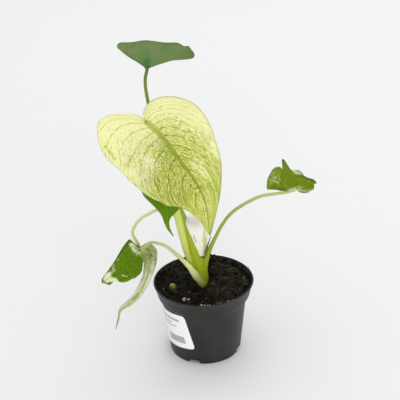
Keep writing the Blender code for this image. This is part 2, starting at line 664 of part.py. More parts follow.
def make_leaf(name, leaf, rows=26, columns=3):
    """A thin closed blade with its lobes, fold, curl and waved margin."""
    points, triangles, boundary = blade_surface(leaf, rows, columns)
    normals = np.zeros_like(points)
    for a, b, c in triangles:
        facing = np.cross(points[b] - points[a], points[c] - points[a])
        for corner in (a, b, c):
            normals[corner] += facing
    normals = unit(normals)
    half = LEAF_THICKNESS / 2
    count = len(points)
    solid = np.vstack([points + half * normals, points - half * normals])
    faces = [tuple(three) for three in triangles]
    faces += [tuple(corner + count for corner in reversed(three)) for three in triangles]
    for a, b in zip(boundary, boundary[1:] + boundary[:1]):
        faces.append((b, a, a + count))
        faces.append((b, a + count, b + count))
    return add_object(name, solid, faces, finish(name, leaf["colour"], 0.45))


def petiole_seat(petiole):
    """Where a petiole meets the back of its leaf, and the way that its end faces."""
    if "beside" in petiole:
        return None, None
    blade = Blade(LEAVES[petiole["leaf"]])
    up = blade.up[0]
    return blade.point(0, 0.0, 1.2) - up * (LEAF_THICKNESS / 2 + GAP), up


def petiole_parts(petiole):
    """The base that belongs to the stem and the free run above it, with their radii."""
    seat = petiole_seat(petiole)[0]
    route = list(petiole["route"]) + ([] if seat is None else [seat])
    path = smooth_path(route, 120)
    run = np.linspace(0.0, path_length(path), len(path))
    radii = np.interp(run, np.linspace(0.0, run[-1], len(petiole["radii"])), petiole["radii"])
    table = np.column_stack([path, radii])
    base = petiole["base"]

    def stretch(start, end, count):
        places = np.linspace(start, end, count)
        return np.stack([np.interp(places, run, column) for column in table.T], axis=1)

    return stretch(0.0, base, 6 + int(base / 8)), stretch(base + GAP, run[-1], 24)


def make_stem():
    """The short stem with the petioles' bases grown into it."""
    rise = np.linspace(0.0, 1.0, 6)
    heights = STEM_BOTTOM + (STEM_TOP - STEM_BOTTOM) * rise
    swell = STEM_RADIUS + 1.7 * np.clip((heights - SOIL_LEVEL - 2.0) / 8.0, 0.0, 1.0)
    path = np.column_stack([np.zeros(6), np.zeros(6), heights])
    stem = tube("stem_base", path, swell, finish("stem_green", (0.26, 0.34, 0.06), 0.5))
    parts = []
    for name, petiole in PETIOLES.items():
        base = petiole_parts(petiole)[0]
        parts.append(tube(name + "_base", base[:, :3], base[:, 3]))
    for route, (low, high) in WEBS:
        parts.append(tube("web", smooth_path(route, 8), np.linspace(low, high, 8)))
    join_all(stem, parts)
    return stem


def make_stub():
    """The round cut end of an older stem."""
    heights = np.array([STUB_BOTTOM, 57.0, 60.5, 62.3, 63.2, STUB_TOP])
    radii = np.array([1.0, 1.0, 1.0, 0.85, 0.55, 0.2]) * STUB_RADIUS
    path = np.column_stack([np.full(6, STUB_PLACE[0]), np.full(6, STUB_PLACE[1]), heights])
    return tube("stem_stub", path, radii, finish("stub_green", (0.33, 0.38, 0.06), 0.5))


def build():
    """Make every piece."""
    clear_scene()
    make_pot()
    make_label()
    make_soil()
    make_stem()
    make_stub()
    green = finish("petiole_green", (0.36, 0.42, 0.08), 0.45)
    for name, petiole in PETIOLES.items():
        free = petiole_parts(petiole)[1]
        tube(name, free[:, :3], free[:, 3], green, petiole_seat(petiole)[1])
    for name, leaf in LEAVES.items():
        blade = make_leaf(name, leaf)
        if "torn" in leaf:
            cut(blade, make_leaf(leaf["torn"], SCRAPS[leaf["torn"]], 8, 1), "UNION")
    make_leaf("dry_sheath", SCRAPS["dry_sheath"], 8, 1)


build()
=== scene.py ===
"""Looks for a potted monstera in a small round nursery pot, laid out as a Blender add-on.

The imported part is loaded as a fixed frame, in metres. Shapes are worked out in millimetres here
and become metres where a mesh is made. The origin is the middle of the pot's foot, +Z is up, and
the big variegated leaf faces -Y.
"""

import math
import random

import bmesh
import bpy
import numpy as np
from bpy.props import FloatProperty, FloatVectorProperty, IntProperty, PointerProperty
from mathutils import Matrix, Vector, noise


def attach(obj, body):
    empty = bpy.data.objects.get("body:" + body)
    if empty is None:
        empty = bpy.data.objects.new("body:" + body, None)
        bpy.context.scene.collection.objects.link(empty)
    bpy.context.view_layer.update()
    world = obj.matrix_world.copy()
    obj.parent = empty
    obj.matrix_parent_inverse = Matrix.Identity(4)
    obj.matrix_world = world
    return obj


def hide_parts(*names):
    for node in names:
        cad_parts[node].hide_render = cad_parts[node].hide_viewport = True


bl_info = {
    "name": "Potted monstera",
    "version": (1, 0, 0),
    "blender": (4, 5, 0),
    "location": "View3D > Sidebar > Monstera",
    "description": "Leaves, stalks, pot, soil and a studio stage for a potted monstera",
    "category": "Add Mesh",
}

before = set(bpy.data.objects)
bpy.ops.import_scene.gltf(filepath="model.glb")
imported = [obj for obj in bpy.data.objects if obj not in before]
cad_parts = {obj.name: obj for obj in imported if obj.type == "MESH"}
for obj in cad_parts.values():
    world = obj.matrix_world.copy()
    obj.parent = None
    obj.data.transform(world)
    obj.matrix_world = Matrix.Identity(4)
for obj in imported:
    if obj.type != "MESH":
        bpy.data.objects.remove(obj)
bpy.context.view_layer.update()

BODY = "root"
MM = 0.001

# Each leaf or scrap has a midrib from the petiole to the tip, the way that its upper side faces,
# and the margin of each half as (distance from the midrib, distance along it), from the sinus
# round the lobe to the tip. A half leaves the midrib at its fold, in degrees, and goes on bending
# by its curl, in degrees a millimetre, each given at even steps down the midrib. The margin's
# wave has its height, count and phase. What is left out is FACES or 0, and a row or a margin that
# is given once serves both halves. The scraps are the dry edge and the thin membrane of the
# sheath in the fork, and the torn flap of one leaf.
FACES = (0, -0.9, 0.45)
LEAVES = {
    "leaf_main": dict(
        midrib=((-38.5, 10, 194.5), (-28, 4.5, 186), (-14.5, -6, 169.5), (-3.5, -14, 155.5),
                (3.5, -24, 141.5), (5.9, -36, 121)),
        left=((0.5, -7), (3, -13.5), (9, -20), (15.5, -25.5), (22.5, -27), (28.5, -23.5), (35, -16.5),
              (39.5, -6.5), (40.5, 5), (39.5, 28), (36.5, 40), (32, 53), (27.5, 64), (20, 72.5), (8.5, 86),
              (3.4, 93), (1.6, 97.5)),
        right=((1.5, -2.5), (4, -6.5), (10.5, -8), (17.5, -6), (24.5, -0.5), (30, 7.5), (34, 13.5),
               (35, 19.5), (34.5, 27.5), (32, 38.5), (27, 51), (21.5, 60.5), (16, 68.5), (9, 79.5),
               (4.2, 91), (1.9, 97)),
        fold=(6, 4), wave=(1.2, 5, 0.4)),
    "leaf_behind": dict(
        midrib=((-36.5, 4, 172.5), (-32.5, -2, 158.5), (-28.5, -9, 141.5), (-26, -14, 131),
                (-25.5, -19, 123), (-24.2, -21, 119), (-21.2, -24, 115)),
        left=((1, -4), (6, -9.5), (13, -10.5), (18.5, -5), (20.5, 4), (18.5, 14.5), (15, 25), (13.5, 31.5),
              (9.5, 38), (6.5, 43.5), (4, 49.5), (2, 56), (1, 61)),
        right=((1, -4), (6, -9.5), (13, -10), (18.5, -4), (20.5, 6), (19.5, 18), (17.5, 30), (15, 39),
               (10.5, 45.5), (6, 48.5), (3, 51), (1.6, 54), (1, 59)),
        fold=(6, 4), wave=(0.6, 4, 1.2)),
    "leaf_top": dict(
        midrib=((-37, 25, 231.5), (-27.5, 30, 233), (-17.5, 36, 233.5), (-8, 42, 231.8), (-1.5, 46, 231.2)),
        faces=(0, 0.67, 0.74),
        left=((2.5, -2), (11, -7.5), (20, -16), (27.5, -22), (31, -23), (32.9, -21.5), (32.85, -17.5),
              (28, -3), (22.5, 10), (18, 21), (14.4, 25.6), (12.9, 28), (13.2, 32), (8, 38.5), (3, 41.5)),
        right=((2.5, -1), (7, -2.5), (12, -5), (16.5, -7), (19.5, -7), (20.5, -4), (19, 3), (17.5, 10),
               (15, 19), (10.8, 27.5), (5.8, 35.8)),
        fold=((22,), (72, 62, 40)), curl=((0.3,), (0,)), wave=(0.7, 4, 0.2)),
    "leaf_right": dict(
        midrib=((66, 8, 134.5), (74, 10, 135.5), (82, 13, 135), (90.9, 15.95, 136)),
        faces=(0, 0.7, 0.7),
        left=((1, -2.5), (3.5, -6), (6, -11.5), (7, -15), (14.5, -14.5), (20, -12), (25.5, -9),
              (26.5, -5.5), (24.5, -3), (21.5, -2), (28, -2), (31.8, -1.5), (27.5, 2), (21, 4.5),
              (15.5, 6.5), (10.5, 8.5), (9.5, 11), (10.5, 14), (6, 22.5)),
        right=((2, -4), (8, -8.5), (13.5, -7), (16, -1), (19.5, 6), (20.8, 11.5), (22.8, 15.5),
               (22.6, 18.5), (20, 21.2), (14.5, 22), (8.5, 22.3), (4.5, 24)),
        fold=((30,), (52, 50)), curl=((0,), (0.3,)), wave=(0.5, 4, 0.9)),
    "leaf_left_green": dict(
        midrib=((-47.5, -10, 97.5), (-58, -13, 89), (-68, -17, 81.5), (-78.5, -21.5, 74.8)),
        left=((5.5, 0.5), (9, 1), (11.5, 2), (10.5, 9), (8.8, 15), (7, 21), (4.7, 30), (2.6, 38)),
        right=((2, 0.5), (6.5, 3), (9.5, 6.5), (13.5, 11.5), (14, 17.5), (12.5, 22), (11, 26.5), (8, 29.5),
               (5.5, 31), (5, 36.5)),
        fold=(5,), curl=((-1, -0.5), (-0.6,)), wave=(0.4, 3, 0.5)),
    "leaf_left_pale": dict(
        midrib=((-42.6, -20.8, 101.2), (-39.8, -21.5, 98.6), (-39.5, -22, 94.6), (-40.4, -22.5, 89.1),
                (-42.2, -23, 82.4), (-44.9, -23.5, 75.6), (-48.4, -24, 68.4), (-52.8, -25, 61.9),
                (-58.6, -25.5, 56.6), (-65.4, -26, 52.1), (-67.4, -26, 45.2), (-70.5, -26, 34.5)),
        faces=(0.2, 0.95, 0.1),
        left=((2, -1.5), (6, -3), (9, -1.5), (10.5, 4), (11, 13), (10.3, 21), (9.5, 28), (8, 41), (6, 49),
              (3.8, 56), (1.6, 61), (0.8, 65), (0.5, 73)),
        fold=(12,), curl=((12.5, 12.5, 15, 17, 22, 30, 30), (3.2, 6.4, 12.5, 14, 20, 30, 30)),
        wave=(0, 3, 0)),
    "dry_sheath": dict(
        midrib=((0.8, -3.9, 83), (2.6, -4.1, 89.5), (4.6, -4.1, 96), (7, -3.8, 103)),
        faces=(-0.5, -0.86, 0), left=((0.25, 0.2), (0.35, 4), (0.75, 11), (0.45, 16), (0.15, 19.5)),
        right=((0.25, 0.2), (0.35, 4), (0.7, 11), (0.4, 16), (0.15, 19.5)),
        fold=(25, 15), wave=(0.15, 3, 0)),
    "sheath_membrane": dict(
        midrib=((-0.4, -2.4, 84.5), (-1.3, -2.6, 92), (-2.6, -2.7, 101), (-4.2, -2.6, 112),
                (-5.6, -2.2, 122)),
        faces=(0, -1, 0.1),
        left=((1.6, 0.3), (4, 5), (5.8, 10.5), (7.8, 17.5), (8, 25.5), (5, 33.5), (2, 36.5)),
        right=((1.4, 0.3), (3.2, 4.5), (5, 13.5), (7, 23.5), (8, 31.5), (4, 37)),
        fold=(-8,), curl=(-2,), wave=(0.3, 3, 0.4)),
    "torn_flap": dict(
        midrib=((74.8, 10, 134.2), (78.5, 10.8, 132.8), (83, 11.6, 132.2), (88.5, 13, 133)),
        left=((0.8, 0.3), (2, 3.5), (2.2, 8), (1.2, 12), (0.8, 14)),
        right=((1.2, 0.3), (3.3, 3), (4.8, 8), (6.4, 11.5), (6, 14.5), (2, 15)),
        wave=(0.3, 2, 0)),
}

# What serves every blade: the arch of its veins where it gives none, the colour of its dry
# tissue, the points of its midrib's path, how far its rims, its thin margin, the ridge under its
# midrib and the calm along both reach, in millimetres, and the groove over the ridge as a share
# of the ridge
ARCH = (0.2,)
BROWN = (0.10, 0.085, 0.045)
MIDRIB_POINTS = 60
RIM_REACH = 0.8
MARGIN_REACH = 1.5
RIDGE_REACH = 1.1
CALM_REACH = 5
GROOVE = 0.45

# How each blade is finished. Its mesh has so many rows and columns, and its lateral veins bend
# toward the tip by their arch. The band of the midrib has its half widths and colours, and the
# blade its pale share, at even steps down the leaf. Marks are streaks and spots that turn the
# blade paler, darker or browner: both ends as side and place, then reach and strength. Rims are
# the same for the margin of each half.
BLADES = {
    "leaf_main": dict(
        mesh=(190, 50), veins=11, arch=((0.17, 0.2), (0.5, 0.5, 0.2, 0.2)), ridge=(1, 0.3), pucker=0.35,
        vein=0.95, stroke=0.85, under=0.6,
        colours=((0.97, 0.955, 0.6), (0.88, 0.89, 0.34), (0.6, 0.665, 0.1), (0.21, 0.26, 0.012)),
        under_tone=(0.74, 0.78, 0.36), rib=(2.2, 2, 1.6, 0.95, 0.65, 0.4, 0.3),
        rib_colours=((0.56, 0.62, 0.12), (0.36, 0.42, 0.05), (0.27, 0.33, 0.03), (0.38, 0.44, 0.05)),
        pale=((1.1, 1.08, 0.95, 0.72, 0.42, 0.38, 0.42, 0.55),
              (1.1, 1.02, 0.74, 0.56, 0.47, 0.36, 0.34, 0.5)),
        pale_marks=((15.2, 1, 15.2, 1, 1.6, -0.5), (-33, -14, -36, 0, 1.6, -0.45),
                    (-27, 9, -34, 17, 3, -0.25), (-35, 24, -31, 33, 4.5, 0.3), (-20, 25, -20, 32, 5, 0.4),
                    (8, 50, 8, 57, 4.5, 0.35), (4, 70, 2, 78, 4, 0.2), (28, 44, 24, 52, 2, 0.5)),
        dark_marks=((-24, 38, -17, 60, 9, 0.16), (-4, 20, -6, 60, 5, 0.12)), rims=dict(dark=(0.15, 0.45))),
    "leaf_behind": dict(
        mesh=(90, 24), veins=9, ridge=(0.8, 0.2), pucker=0.3, vein=0.25, stroke=0.2, under=0.7,
        colours=((0.5, 0.56, 0.1), (0.24, 0.38, 0.02), (0.15, 0.3, 0.005), (0.12, 0.24, 0.006)),
        under_tone=(0.24, 0.37, 0.02), rib=(0.9, 0.3), rib_colours=((0.24, 0.38, 0.03), (0.22, 0.36, 0.02)),
        pale=(0,)),
    "leaf_top": dict(
        mesh=(90, 24), veins=9, ridge=(0.7, 0.2), pucker=0.3, vein=0.2, stroke=0.15, under=0.8,
        colours=((0.4, 0.45, 0.12), (0.24, 0.34, 0.1), (0.18, 0.3, 0.05), (0.08, 0.22, 0.06)),
        under_tone=(0.215, 0.315, 0.125), under_drift=(0.255, 0.325, 0.15), rib=(0.9, 0.3),
        rib_colours=((0.16, 0.27, 0.06), (0.2, 0.3, 0.07)), pale=(0.1,),
        dark_marks=((-6, 0.4, -1, 0.4, 3.6, 0.8), (-12, 0, -9, 1, 4, 0.3), (-16.5, 13, -14, 12, 3, 0.2),
                    (6, 4, 9, 5, 4, 0.3)),
        brown_marks=((-9, 32, -3.5, 38.5, 5, 0.18), (-29.5, -10, -24.5, 4, 2.2, 0.14),
                     (-21, 12, -16, 22, 1.4, 0.16)),
        rims=dict(brown=(0.22, 0.1))),
    "leaf_right": dict(
        mesh=(120, 26), veins=8, ridge=(0.6, 0.2), pucker=0.25, vein=0.3, stroke=0.5, under=0.3,
        colours=((0.76, 0.8, 0.52), (0.33, 0.4, 0.012), (0.19, 0.31, 0.004), (0.09, 0.16, 0.008)),
        under_tone=(0.24, 0.34, 0.03), rib=(0.7, 0.3), rib_colours=((0.55, 0.6, 0.25), (0.34, 0.42, 0.06)),
        pale=((0.12,), (0.15,)),
        pale_marks=((-15.2, -8, -13.8, -7.6, 1, 0.5), (-10.7, -6.8, -9.8, -5.4, 1, 0.5),
                    (-13, -5.2, -12.2, -4.2, 0.9, 0.6), (-16.5, -5.5, -15.5, -5, 0.9, 0.4),
                    (-12.6, -9.2, -11.6, -8.4, 1, 0.4), (-18, -7, -11, -9.5, 7, 0.22),
                    (-14, -13, -22, -9, 4, 0.22), (-8, -1, -13, -1, 1.6, 0.2),
                    (-26.4, -8.6, -27.2, -5.6, 0.9, 0.8), (-6.6, 0.4, -2.4, 0.8, 0.35, 0.7),
                    (22.5, 14.5, 18.5, 20.5, 3.8, 1.1), (-4.5, 19, -4.3, 19.6, 0.8, 0.8),
                    (-8.5, 10, -7, 12, 1.4, 0.35), (-0.5, 2, -0.5, 12, 1, 0.7)),
        dark_marks=((-7.8, -11, -1.6, -1, 1, 0.6), (-13.5, -6.5, -12.4, -7, 0.7, 0.7),
                    (-15, -3.6, -14, -3.2, 0.8, 0.5), (-9.2, -4.4, -8.2, -3.8, 0.9, 0.6),
                    (-10.4, -8.8, -9.4, -8.2, 0.8, 0.5), (-21.5, -2.6, -9, -1.6, 0.5, 0.45),
                    (-10.5, 13.5, -2.5, 24.5, 0.8, 0.8), (-1.2, 26.8, -1.6, 25.4, 1.6, 0.7)),
        brown_marks=((-31.6, -1.5, -30.4, -1.6, 1.5, 0.9), (-4.2, 8.4, -3.8, 8.8, 0.6, 0.6),
                     (22.2, 19.4, 15, 22, 0.6, 0.8)),
        rims=dict(brown=(0.25, 0.35))),
    "leaf_left_green": dict(
        mesh=(110, 30), veins=7, ridge=(0.5, 0.2), pucker=0.2, vein=0.12, stroke=0.4, under=0.5,
        colours=((0.9, 0.92, 0.66), (0.36, 0.46, 0.03), (0.115, 0.25, 0.002), (0.07, 0.155, 0.002)),
        under_tone=(0.26, 0.38, 0.06), rib=(0.3, 0.15),
        rib_colours=((0.14, 0.28, 0.005), (0.13, 0.27, 0.004)), pale=((0, 0, 0.12, 0.12), (0.02,)),
        pale_marks=((-7.4, 3.6, 0.4, 4.2, 2.3, 0.85), (-7.6, 1.4, -1, 1.6, 0.7, 0.5),
                    (1.5, 2.4, 8.6, 4.2, 1, 0.5), (-8.6, 9, -8, 9.8, 0.9, 0.4),
                    (-7.4, 13.4, -6.8, 14.2, 0.8, 0.4), (-6.4, 18.6, -5.4, 19.2, 1, 0.45),
                    (-1.8, 33.2, 0.6, 37.2, 2.4, 1.3), (0.5, 34.5, 4.8, 31, 2, 1.3),
                    (-4.6, 26.2, -1.2, 26.8, 1.3, 0.5), (-5.2, 24.4, -5, 25, 1.2, 0.55),
                    (-2.2, 29.6, -1.8, 30.6, 1.3, 0.5), (5.4, 24.4, 9, 22.4, 0.55, 0.85),
                    (9, 19.6, 9.4, 20, 0.5, 0.5)),
        dark_marks=((-11, 2.6, -8.2, 18, 1.2, 0.6), (-9.5, 5.5, -8, 13, 1.6, 0.25)),
        brown_marks=((-11, 1.6, -10.6, 2.8, 0.9, 0.7), (-10, 1.4, -0.5, 0.2, 0.3, 0.4),
                     (-4.9, 25, -4.2, 28, 0.45, 0.7), (-2.2, 38.4, -1, 38.6, 0.9, 0.7),
                     (0.4, 38.4, 4, 36.6, 0.7, 0.8)),
        rims=dict(brown=(0.7, 0), pale=(0, 0.7))),
    "leaf_left_pale": dict(
        mesh=(160, 26), veins=12, ridge=(0.5, 0.1), pucker=0.15, vein=0.35, stroke=0.5, under=0,
        colours=((0.86, 0.87, 0.68), (0.57, 0.62, 0.29), (0.36, 0.42, 0.12), (0.17, 0.21, 0.05)),
        under_tone=(0.6, 0.63, 0.42), rib=(0.6, 0.3), rib_colours=((0.4, 0.44, 0.15), (0.52, 0.56, 0.24)),
        pale=((0.45, 0.55, 0.5, 0.9, 0.95, 0.9, 0.75, 0.6), (0.35, 0.35, 0.35, 0.65, 0.8, 0.75, 0.65, 0.5)),
        pale_marks=((-2.5, 22.5, -2.6, 31, 1.6, 0.5), (3.4, 35, 3.4, 44, 1.2, 0.6),
                    (0.4, 15, -1.4, 19, 2.2, -0.35), (1.5, 39.5, 1.5, 45, 1, -0.5)),
        dark_marks=((-1.6, -0.4, -3.4, 4.4, 1, 0.5), (0.4, 6.8, 0.9, 7.4, 1.1, 0.5),
                    (-0.9, 8.8, -0.5, 10.4, 1.2, 0.45), (-3, 7.4, -2.6, 8, 0.8, 0.35),
                    (-4, 5, -4.4, 14, 0.6, 0.35), (3.5, 21, 3, 31, 0.5, 0.35)),
        brown_marks=((0, -1, 0, 0.6, 1.6, 0.35), (0, 67, 0, 80, 2, 0.35)), rims=dict(pale=(0.6, 0.6))),
    "torn_flap": dict(
        mesh=(40, 8), pale=((1.1, 1, 0.7, 0.1), (1, 0.8, 0.1, 0)), pale_marks=(), dark_marks=(),
        brown_marks=((-1.7, 2, -2.2, 10, 0.8, 0.8),), rims={}),
    "sheath_membrane": dict(
        mesh=(60, 16), veins=5, arch=(0,), ridge=(0.05, 0.05), pucker=0.1, vein=0.1, stroke=0.1, under=0,
        colours=((1, 0.98, 0.965), (0.93, 0.92, 0.8), (0.78, 0.81, 0.45), (0.6, 0.6, 0.35)),
        under_tone=(1, 0.98, 0.96), rib=(0.3, 0.2), rib_colours=((0.88, 0.87, 0.72), (0.9, 0.87, 0.8)),
        pale=(1.1,), through=0.6, glow=(1, 1, 0.97),
        pale_marks=((-1.6, 1, -4.6, 14, 1.5, -1.1), (-4.6, 14, -6.8, 28, 1.7, -0.9)),
        # The wide, faint brown mark across the top tints the membrane beige there.
        brown_marks=((2.4, 13.5, 3.4, 20, 0.35, 0.6), (-2, 2, -3, 7, 0.3, 0.3), (-2, 30, 6, 33, 4, 0.2))),
    "dry_sheath": dict(
        mesh=(40, 8), veins=3, arch=(0,), ridge=(0.1, 0.1), pucker=0, rib=(0.4, 0.2), pale=(0,)),
}

# Each stalk leaves the stem and runs to its leaf. Its radius and its colours are given at even
# steps from the stem to the leaf. The first colour, dark where the stalk leaves the stem just
# above the soil, is darkened as painted shade, and the crown takes it on too.
STALKS = {
    "main": dict(
        leaf="leaf_main",
        route=((-0.5, -1, 61), (-3.2, -0.8, 66), (-6.3, -0.6, 73), (-9.3, -0.4, 79.5), (-11.9, -0.8, 87),
               (-14.5, -1.4, 100), (-17.1, -1.8, 114.5), (-18.9, -1, 125.5), (-20, 0.5, 132), (-22, 5, 143),
               (-27, 11, 159), (-32.5, 15.5, 174), (-36.5, 16, 186)),
        radii=(2.9, 2.7, 2.7, 2.8, 2.9, 2.7, 2.4, 2.2, 2.1, 2, 1.9),
        colours=((0.12, 0.14, 0.01), (0.42, 0.49, 0.07), (0.54, 0.6, 0.15), (0.58, 0.65, 0.19),
                 (0.6, 0.66, 0.21), (0.58, 0.65, 0.18), (0.54, 0.61, 0.13), (0.5, 0.57, 0.11))),
    "top": dict(
        leaf="leaf_top",
        route=((0, 0.3, 61), (-1.2, -0.6, 68), (-3.6, -1, 77), (-6, -0.8, 86), (-9.4, 0.8, 99),
               (-13.3, 2.2, 112), (-16.7, 3.6, 123.5), (-18.6, 8.5, 131), (-21.3, 13, 140.5),
               (-25.5, 18, 153), (-30.7, 23, 171), (-35.5, 27, 194), (-37.2, 28.5, 204),
               (-38.3, 28.5, 214.5), (-38, 27, 223)),
        radii=(3.1, 3.6, 3.4, 2.8, 2.3, 1.9, 1.6, 1.5, 1.4, 1.35, 1.3, 1.28, 1.25),
        colours=((0.13, 0.155, 0.005), (0.3, 0.36, 0.008), (0.32, 0.38, 0.018), (0.31, 0.37, 0.025),
                 (0.3, 0.365, 0.035), (0.3, 0.36, 0.04), (0.27, 0.33, 0.035), (0.22, 0.28, 0.045),
                 (0.225, 0.275, 0.05), (0.21, 0.26, 0.045), (0.18, 0.235, 0.035), (0.11, 0.17, 0.03))),
    "behind": dict(
        leaf="leaf_behind",
        route=((0, 3, 61), (-0.5, 6, 66), (-2.5, 8.5, 73), (-6, 10, 84.5), (-9, 11, 97.5), (-12, 11.5, 109),
               (-15.5, 12, 119), (-21.5, 12, 130), (-28, 11, 142), (-33.5, 9.5, 153.5), (-36, 9.5, 164)),
        radii=(2.2, 1.7, 1.5, 1.3),
        colours=((0.12, 0.15, 0.01), (0.34, 0.41, 0.07), (0.38, 0.46, 0.1), (0.34, 0.43, 0.06))),
    "arched": dict(
        leaf="leaf_left_green",
        route=((-0.5, 3, 61), (-2.5, 7.5, 65), (-6, 13, 74.5), (-10.5, 16, 89.5), (-15.5, 17, 101.5),
               (-21.5, 16.5, 112), (-28, 13, 119), (-35.5, 9, 120.5), (-41, 6, 119), (-45.5, 3, 118),
               (-50, 0, 115), (-52.5, -2, 111.5), (-53.5, -4, 109), (-52.5, -5.5, 105), (-50, -6.5, 101)),
        radii=(2, 1.4, 1.2, 1.2, 1.2),
        colours=((0.12, 0.15, 0.01), (0.34, 0.41, 0.08), (0.44, 0.52, 0.16), (0.58, 0.64, 0.3),
                 (0.7, 0.76, 0.38), (0.54, 0.6, 0.22), (0.42, 0.48, 0.15))),
    "low_left": dict(
        leaf="leaf_left_pale",
        route=((-1, -2, 61), (-3.5, -5, 66), (-7, -6.8, 73), (-13.5, -9, 83), (-20, -11, 91.6),
               (-25.5, -13, 98.6), (-30, -14, 102.5), (-35.5, -16.5, 105.9), (-38.5, -19, 107.6),
               (-41.8, -22, 107.5), (-44.6, -23.3, 106.3), (-45.5, -22.5, 104.4)),
        radii=(2.6, 2.3, 2.2, 2, 1.7, 1.5, 1.3, 1.2, 1.15, 1.75, 2),
        colours=((0.12, 0.13, 0.02), (0.3, 0.31, 0.1), (0.54, 0.55, 0.22), (0.66, 0.72, 0.27),
                 (0.54, 0.58, 0.25), (0.5, 0.54, 0.25), (0.49, 0.53, 0.25), (0.47, 0.5, 0.24),
                 (0.42, 0.45, 0.2), (0.36, 0.39, 0.14), (0.22, 0.25, 0.05))),
    "right": dict(
        leaf="leaf_right",
        route=((0.5, -1, 61), (1, -2, 70), (2.3, -2, 79), (4.9, -2, 88), (8.3, -2, 96), (12.4, -1.5, 104.5),
               (15.9, -1, 111), (20.7, 0, 117.5), (26.2, 0.8, 122.5), (31.8, 1.5, 126), (38.3, 3, 129),
               (47, 4.5, 132), (57, 5.3, 133), (66, 6.5, 133.2), (72, 8, 133.7), (78, 10.6, 134.2)),
        beside=True,
        radii=(2.7, 2.2, 2.1, 1.65, 1.4, 1.35, 1.3, 1.3, 1.3, 1.25, 1.1, 0.4),
        colours=((0.12, 0.14, 0.005), (0.25, 0.29, 0.015), (0.28, 0.33, 0.03), (0.29, 0.345, 0.05),
                 (0.3, 0.36, 0.07), (0.31, 0.37, 0.09), (0.34, 0.4, 0.1), (0.39, 0.45, 0.14),
                 (0.42, 0.48, 0.17), (0.43, 0.49, 0.17), (0.52, 0.58, 0.25))),
}

# Folded tissue between the stalks' bases, each as a route with its radius at both ends
WEBS = (
    (((0, 0, 62), (0, -0.8, 68), (0, -1.2, 74), (-0.2, -1.6, 82)), (3, 1.8)),
    (((-4, -0.5, 72), (-7.5, -0.3, 81), (-10.3, 0.2, 92), (-13.3, 0.6, 105), (-15.6, 0.8, 116),
      (-16.6, 1, 121)), (2.4, 1.6)),
    (((-12.6, -8.8, 81.5), (-9.6, -8.4, 75.5), (-6, -7.2, 69), (-2.5, -4.8, 63.5),
      (-0.5, -2.5, 59)), (0.9, 3.8)),
)
STEM_RADII = (3.3, 3.3, 3.5, 3.9, 4.1, 3.4)
STEM_HEIGHTS = (44, 56, 59.5, 62.5, 66, 69)
# The stalks' bases are one body with the stem up to this height, and grow out of it from here
CROWN_TOP = 96
STALK_START = 78
STALK_POINTS = 150
# The fineness of the crown's skin and the rounds that smooth it, and the tints of the streaks
# and blotches of crown and stalks
CROWN_VOXEL = 0.42
CROWN_ROUNDS = 10
LIGHTER = (1.35, 1.3, 1.6)
DEEPER = (0.72, 0.75, 0.6)

# The pot's outside, as (radius, height) from the foot up to the lip
POT_OUTSIDE = ((27.8, 0), (28.6, 0.8), (33.7, 46.5), (34.5, 48), (36.3, 49.8), (36.8, 50.8),
               (38.7, 58.5), (39.9, 61), (40, 61.6), (39.7, 62))
POT_LIP = (39, 62)
POT_SEGMENTS = 144
POT_WALL = 1.1
FOOT_RADIUS = 28.6
FLOOR_THICKNESS = 1.2
NOTCH_ANGLES = (-110, -20, 70, 160)
NOTCH_WIDTH = 10
NOTCH_HEIGHT = 3.5
NOTCH_INNER_RADIUS = 19.5
DRAIN_RADIUS = 2.4
DRAIN_DISTANCE = 24

LABEL_ANGLE = -163.5
LABEL_MIDDLE = 27.5
LABEL_TURN = 7
LABEL_CORNER = 3
LABEL_LIFT, LABEL_FACE = 0.1, 0.4
LABEL_COLUMNS, LABEL_ROWS = 72, 20
# Plain grey bars: middle height, half height, start and end across
LABEL_BARS = ((10.5, 1.1, -22, 22), (6.6, 0.6, -22, 12), (4, 0.6, -22, 17), (-8, 3.2, 4, 22))

SOIL_LEVEL = 57.5
SOIL_BOTTOM = 5.2
SOIL_RINGS, SOIL_SEGMENTS = 96, 260
SOIL_REACH = 34
STEM_CLEARANCE = 7
STUB_PLACE = (-24.5, -7.5)
STUB_RADIUS = 3
STUB_OUTLINE = ((0, 46), (0.96, 46), (1, 57), (1.02, 60), (0.94, 61.5), (0.74, 62.7), (0.4, 63.3),
                (0, 63.4))
# Patches of the soil: both ends, reach and strength. Those with a negative strength are painted
# shadow: in front of the stem, to its right running back, to its left, and by the rim on the left.
# The others are paler lumps and streaks of the soil itself.
SOIL_SHADOWS_AND_PATCHES = ((-3, -8, -3.3, -30, 3.4, -0.4), (3.5, 34, 4.5, 4, 4.5, -0.3), (-33, 2, -31, 14, 4, -0.2),
                (-8, -2, -14, 8, 4, -0.15), (15, 34, 27, 30, 7, 0.6), (14, 8, 24, 8, 1.5, 0.5),
                (12, -10, 20, -12, 6, 0.25), (33, 0, 34, 8, 3.5, 0.4), (-27, 24, -22, 25, 4, 0.2),
                (14, 20, 28, 18, 3, 0.2))
# Strands of bark across the soil: middle, length and radius
SOIL_STRANDS = ((19, 8, 11, 0.8), (15, 11, 7, 0.5), (26, 12.5, 8, 0.6), (20, 16.5, 12, 0.7),
                (24, 22, 10, 0.8), (16, 26, 9, 0.7), (22, 28.5, 8, 0.9), (13, 31, 7, 0.7),
                (16, -8, 10, 0.7), (24, 3, 7, 0.5))
# Fibres that stick out at the pot's lip
LIP_FIBRES = (((36.8, 9, 59.5), (37.8, 8, 61.6), (38.6, 6.8, 63.2), (39, 6.4, 64.6)),
              ((36.2, 13, 59.5), (37, 13, 61.4), (37.2, 13.8, 63), (36.6, 15, 63.8)),
              ((-24, 29, 58.5), (-24.6, 29.4, 60.4), (-24.4, 30, 62.4), (-23.6, 30.2, 63.4)))
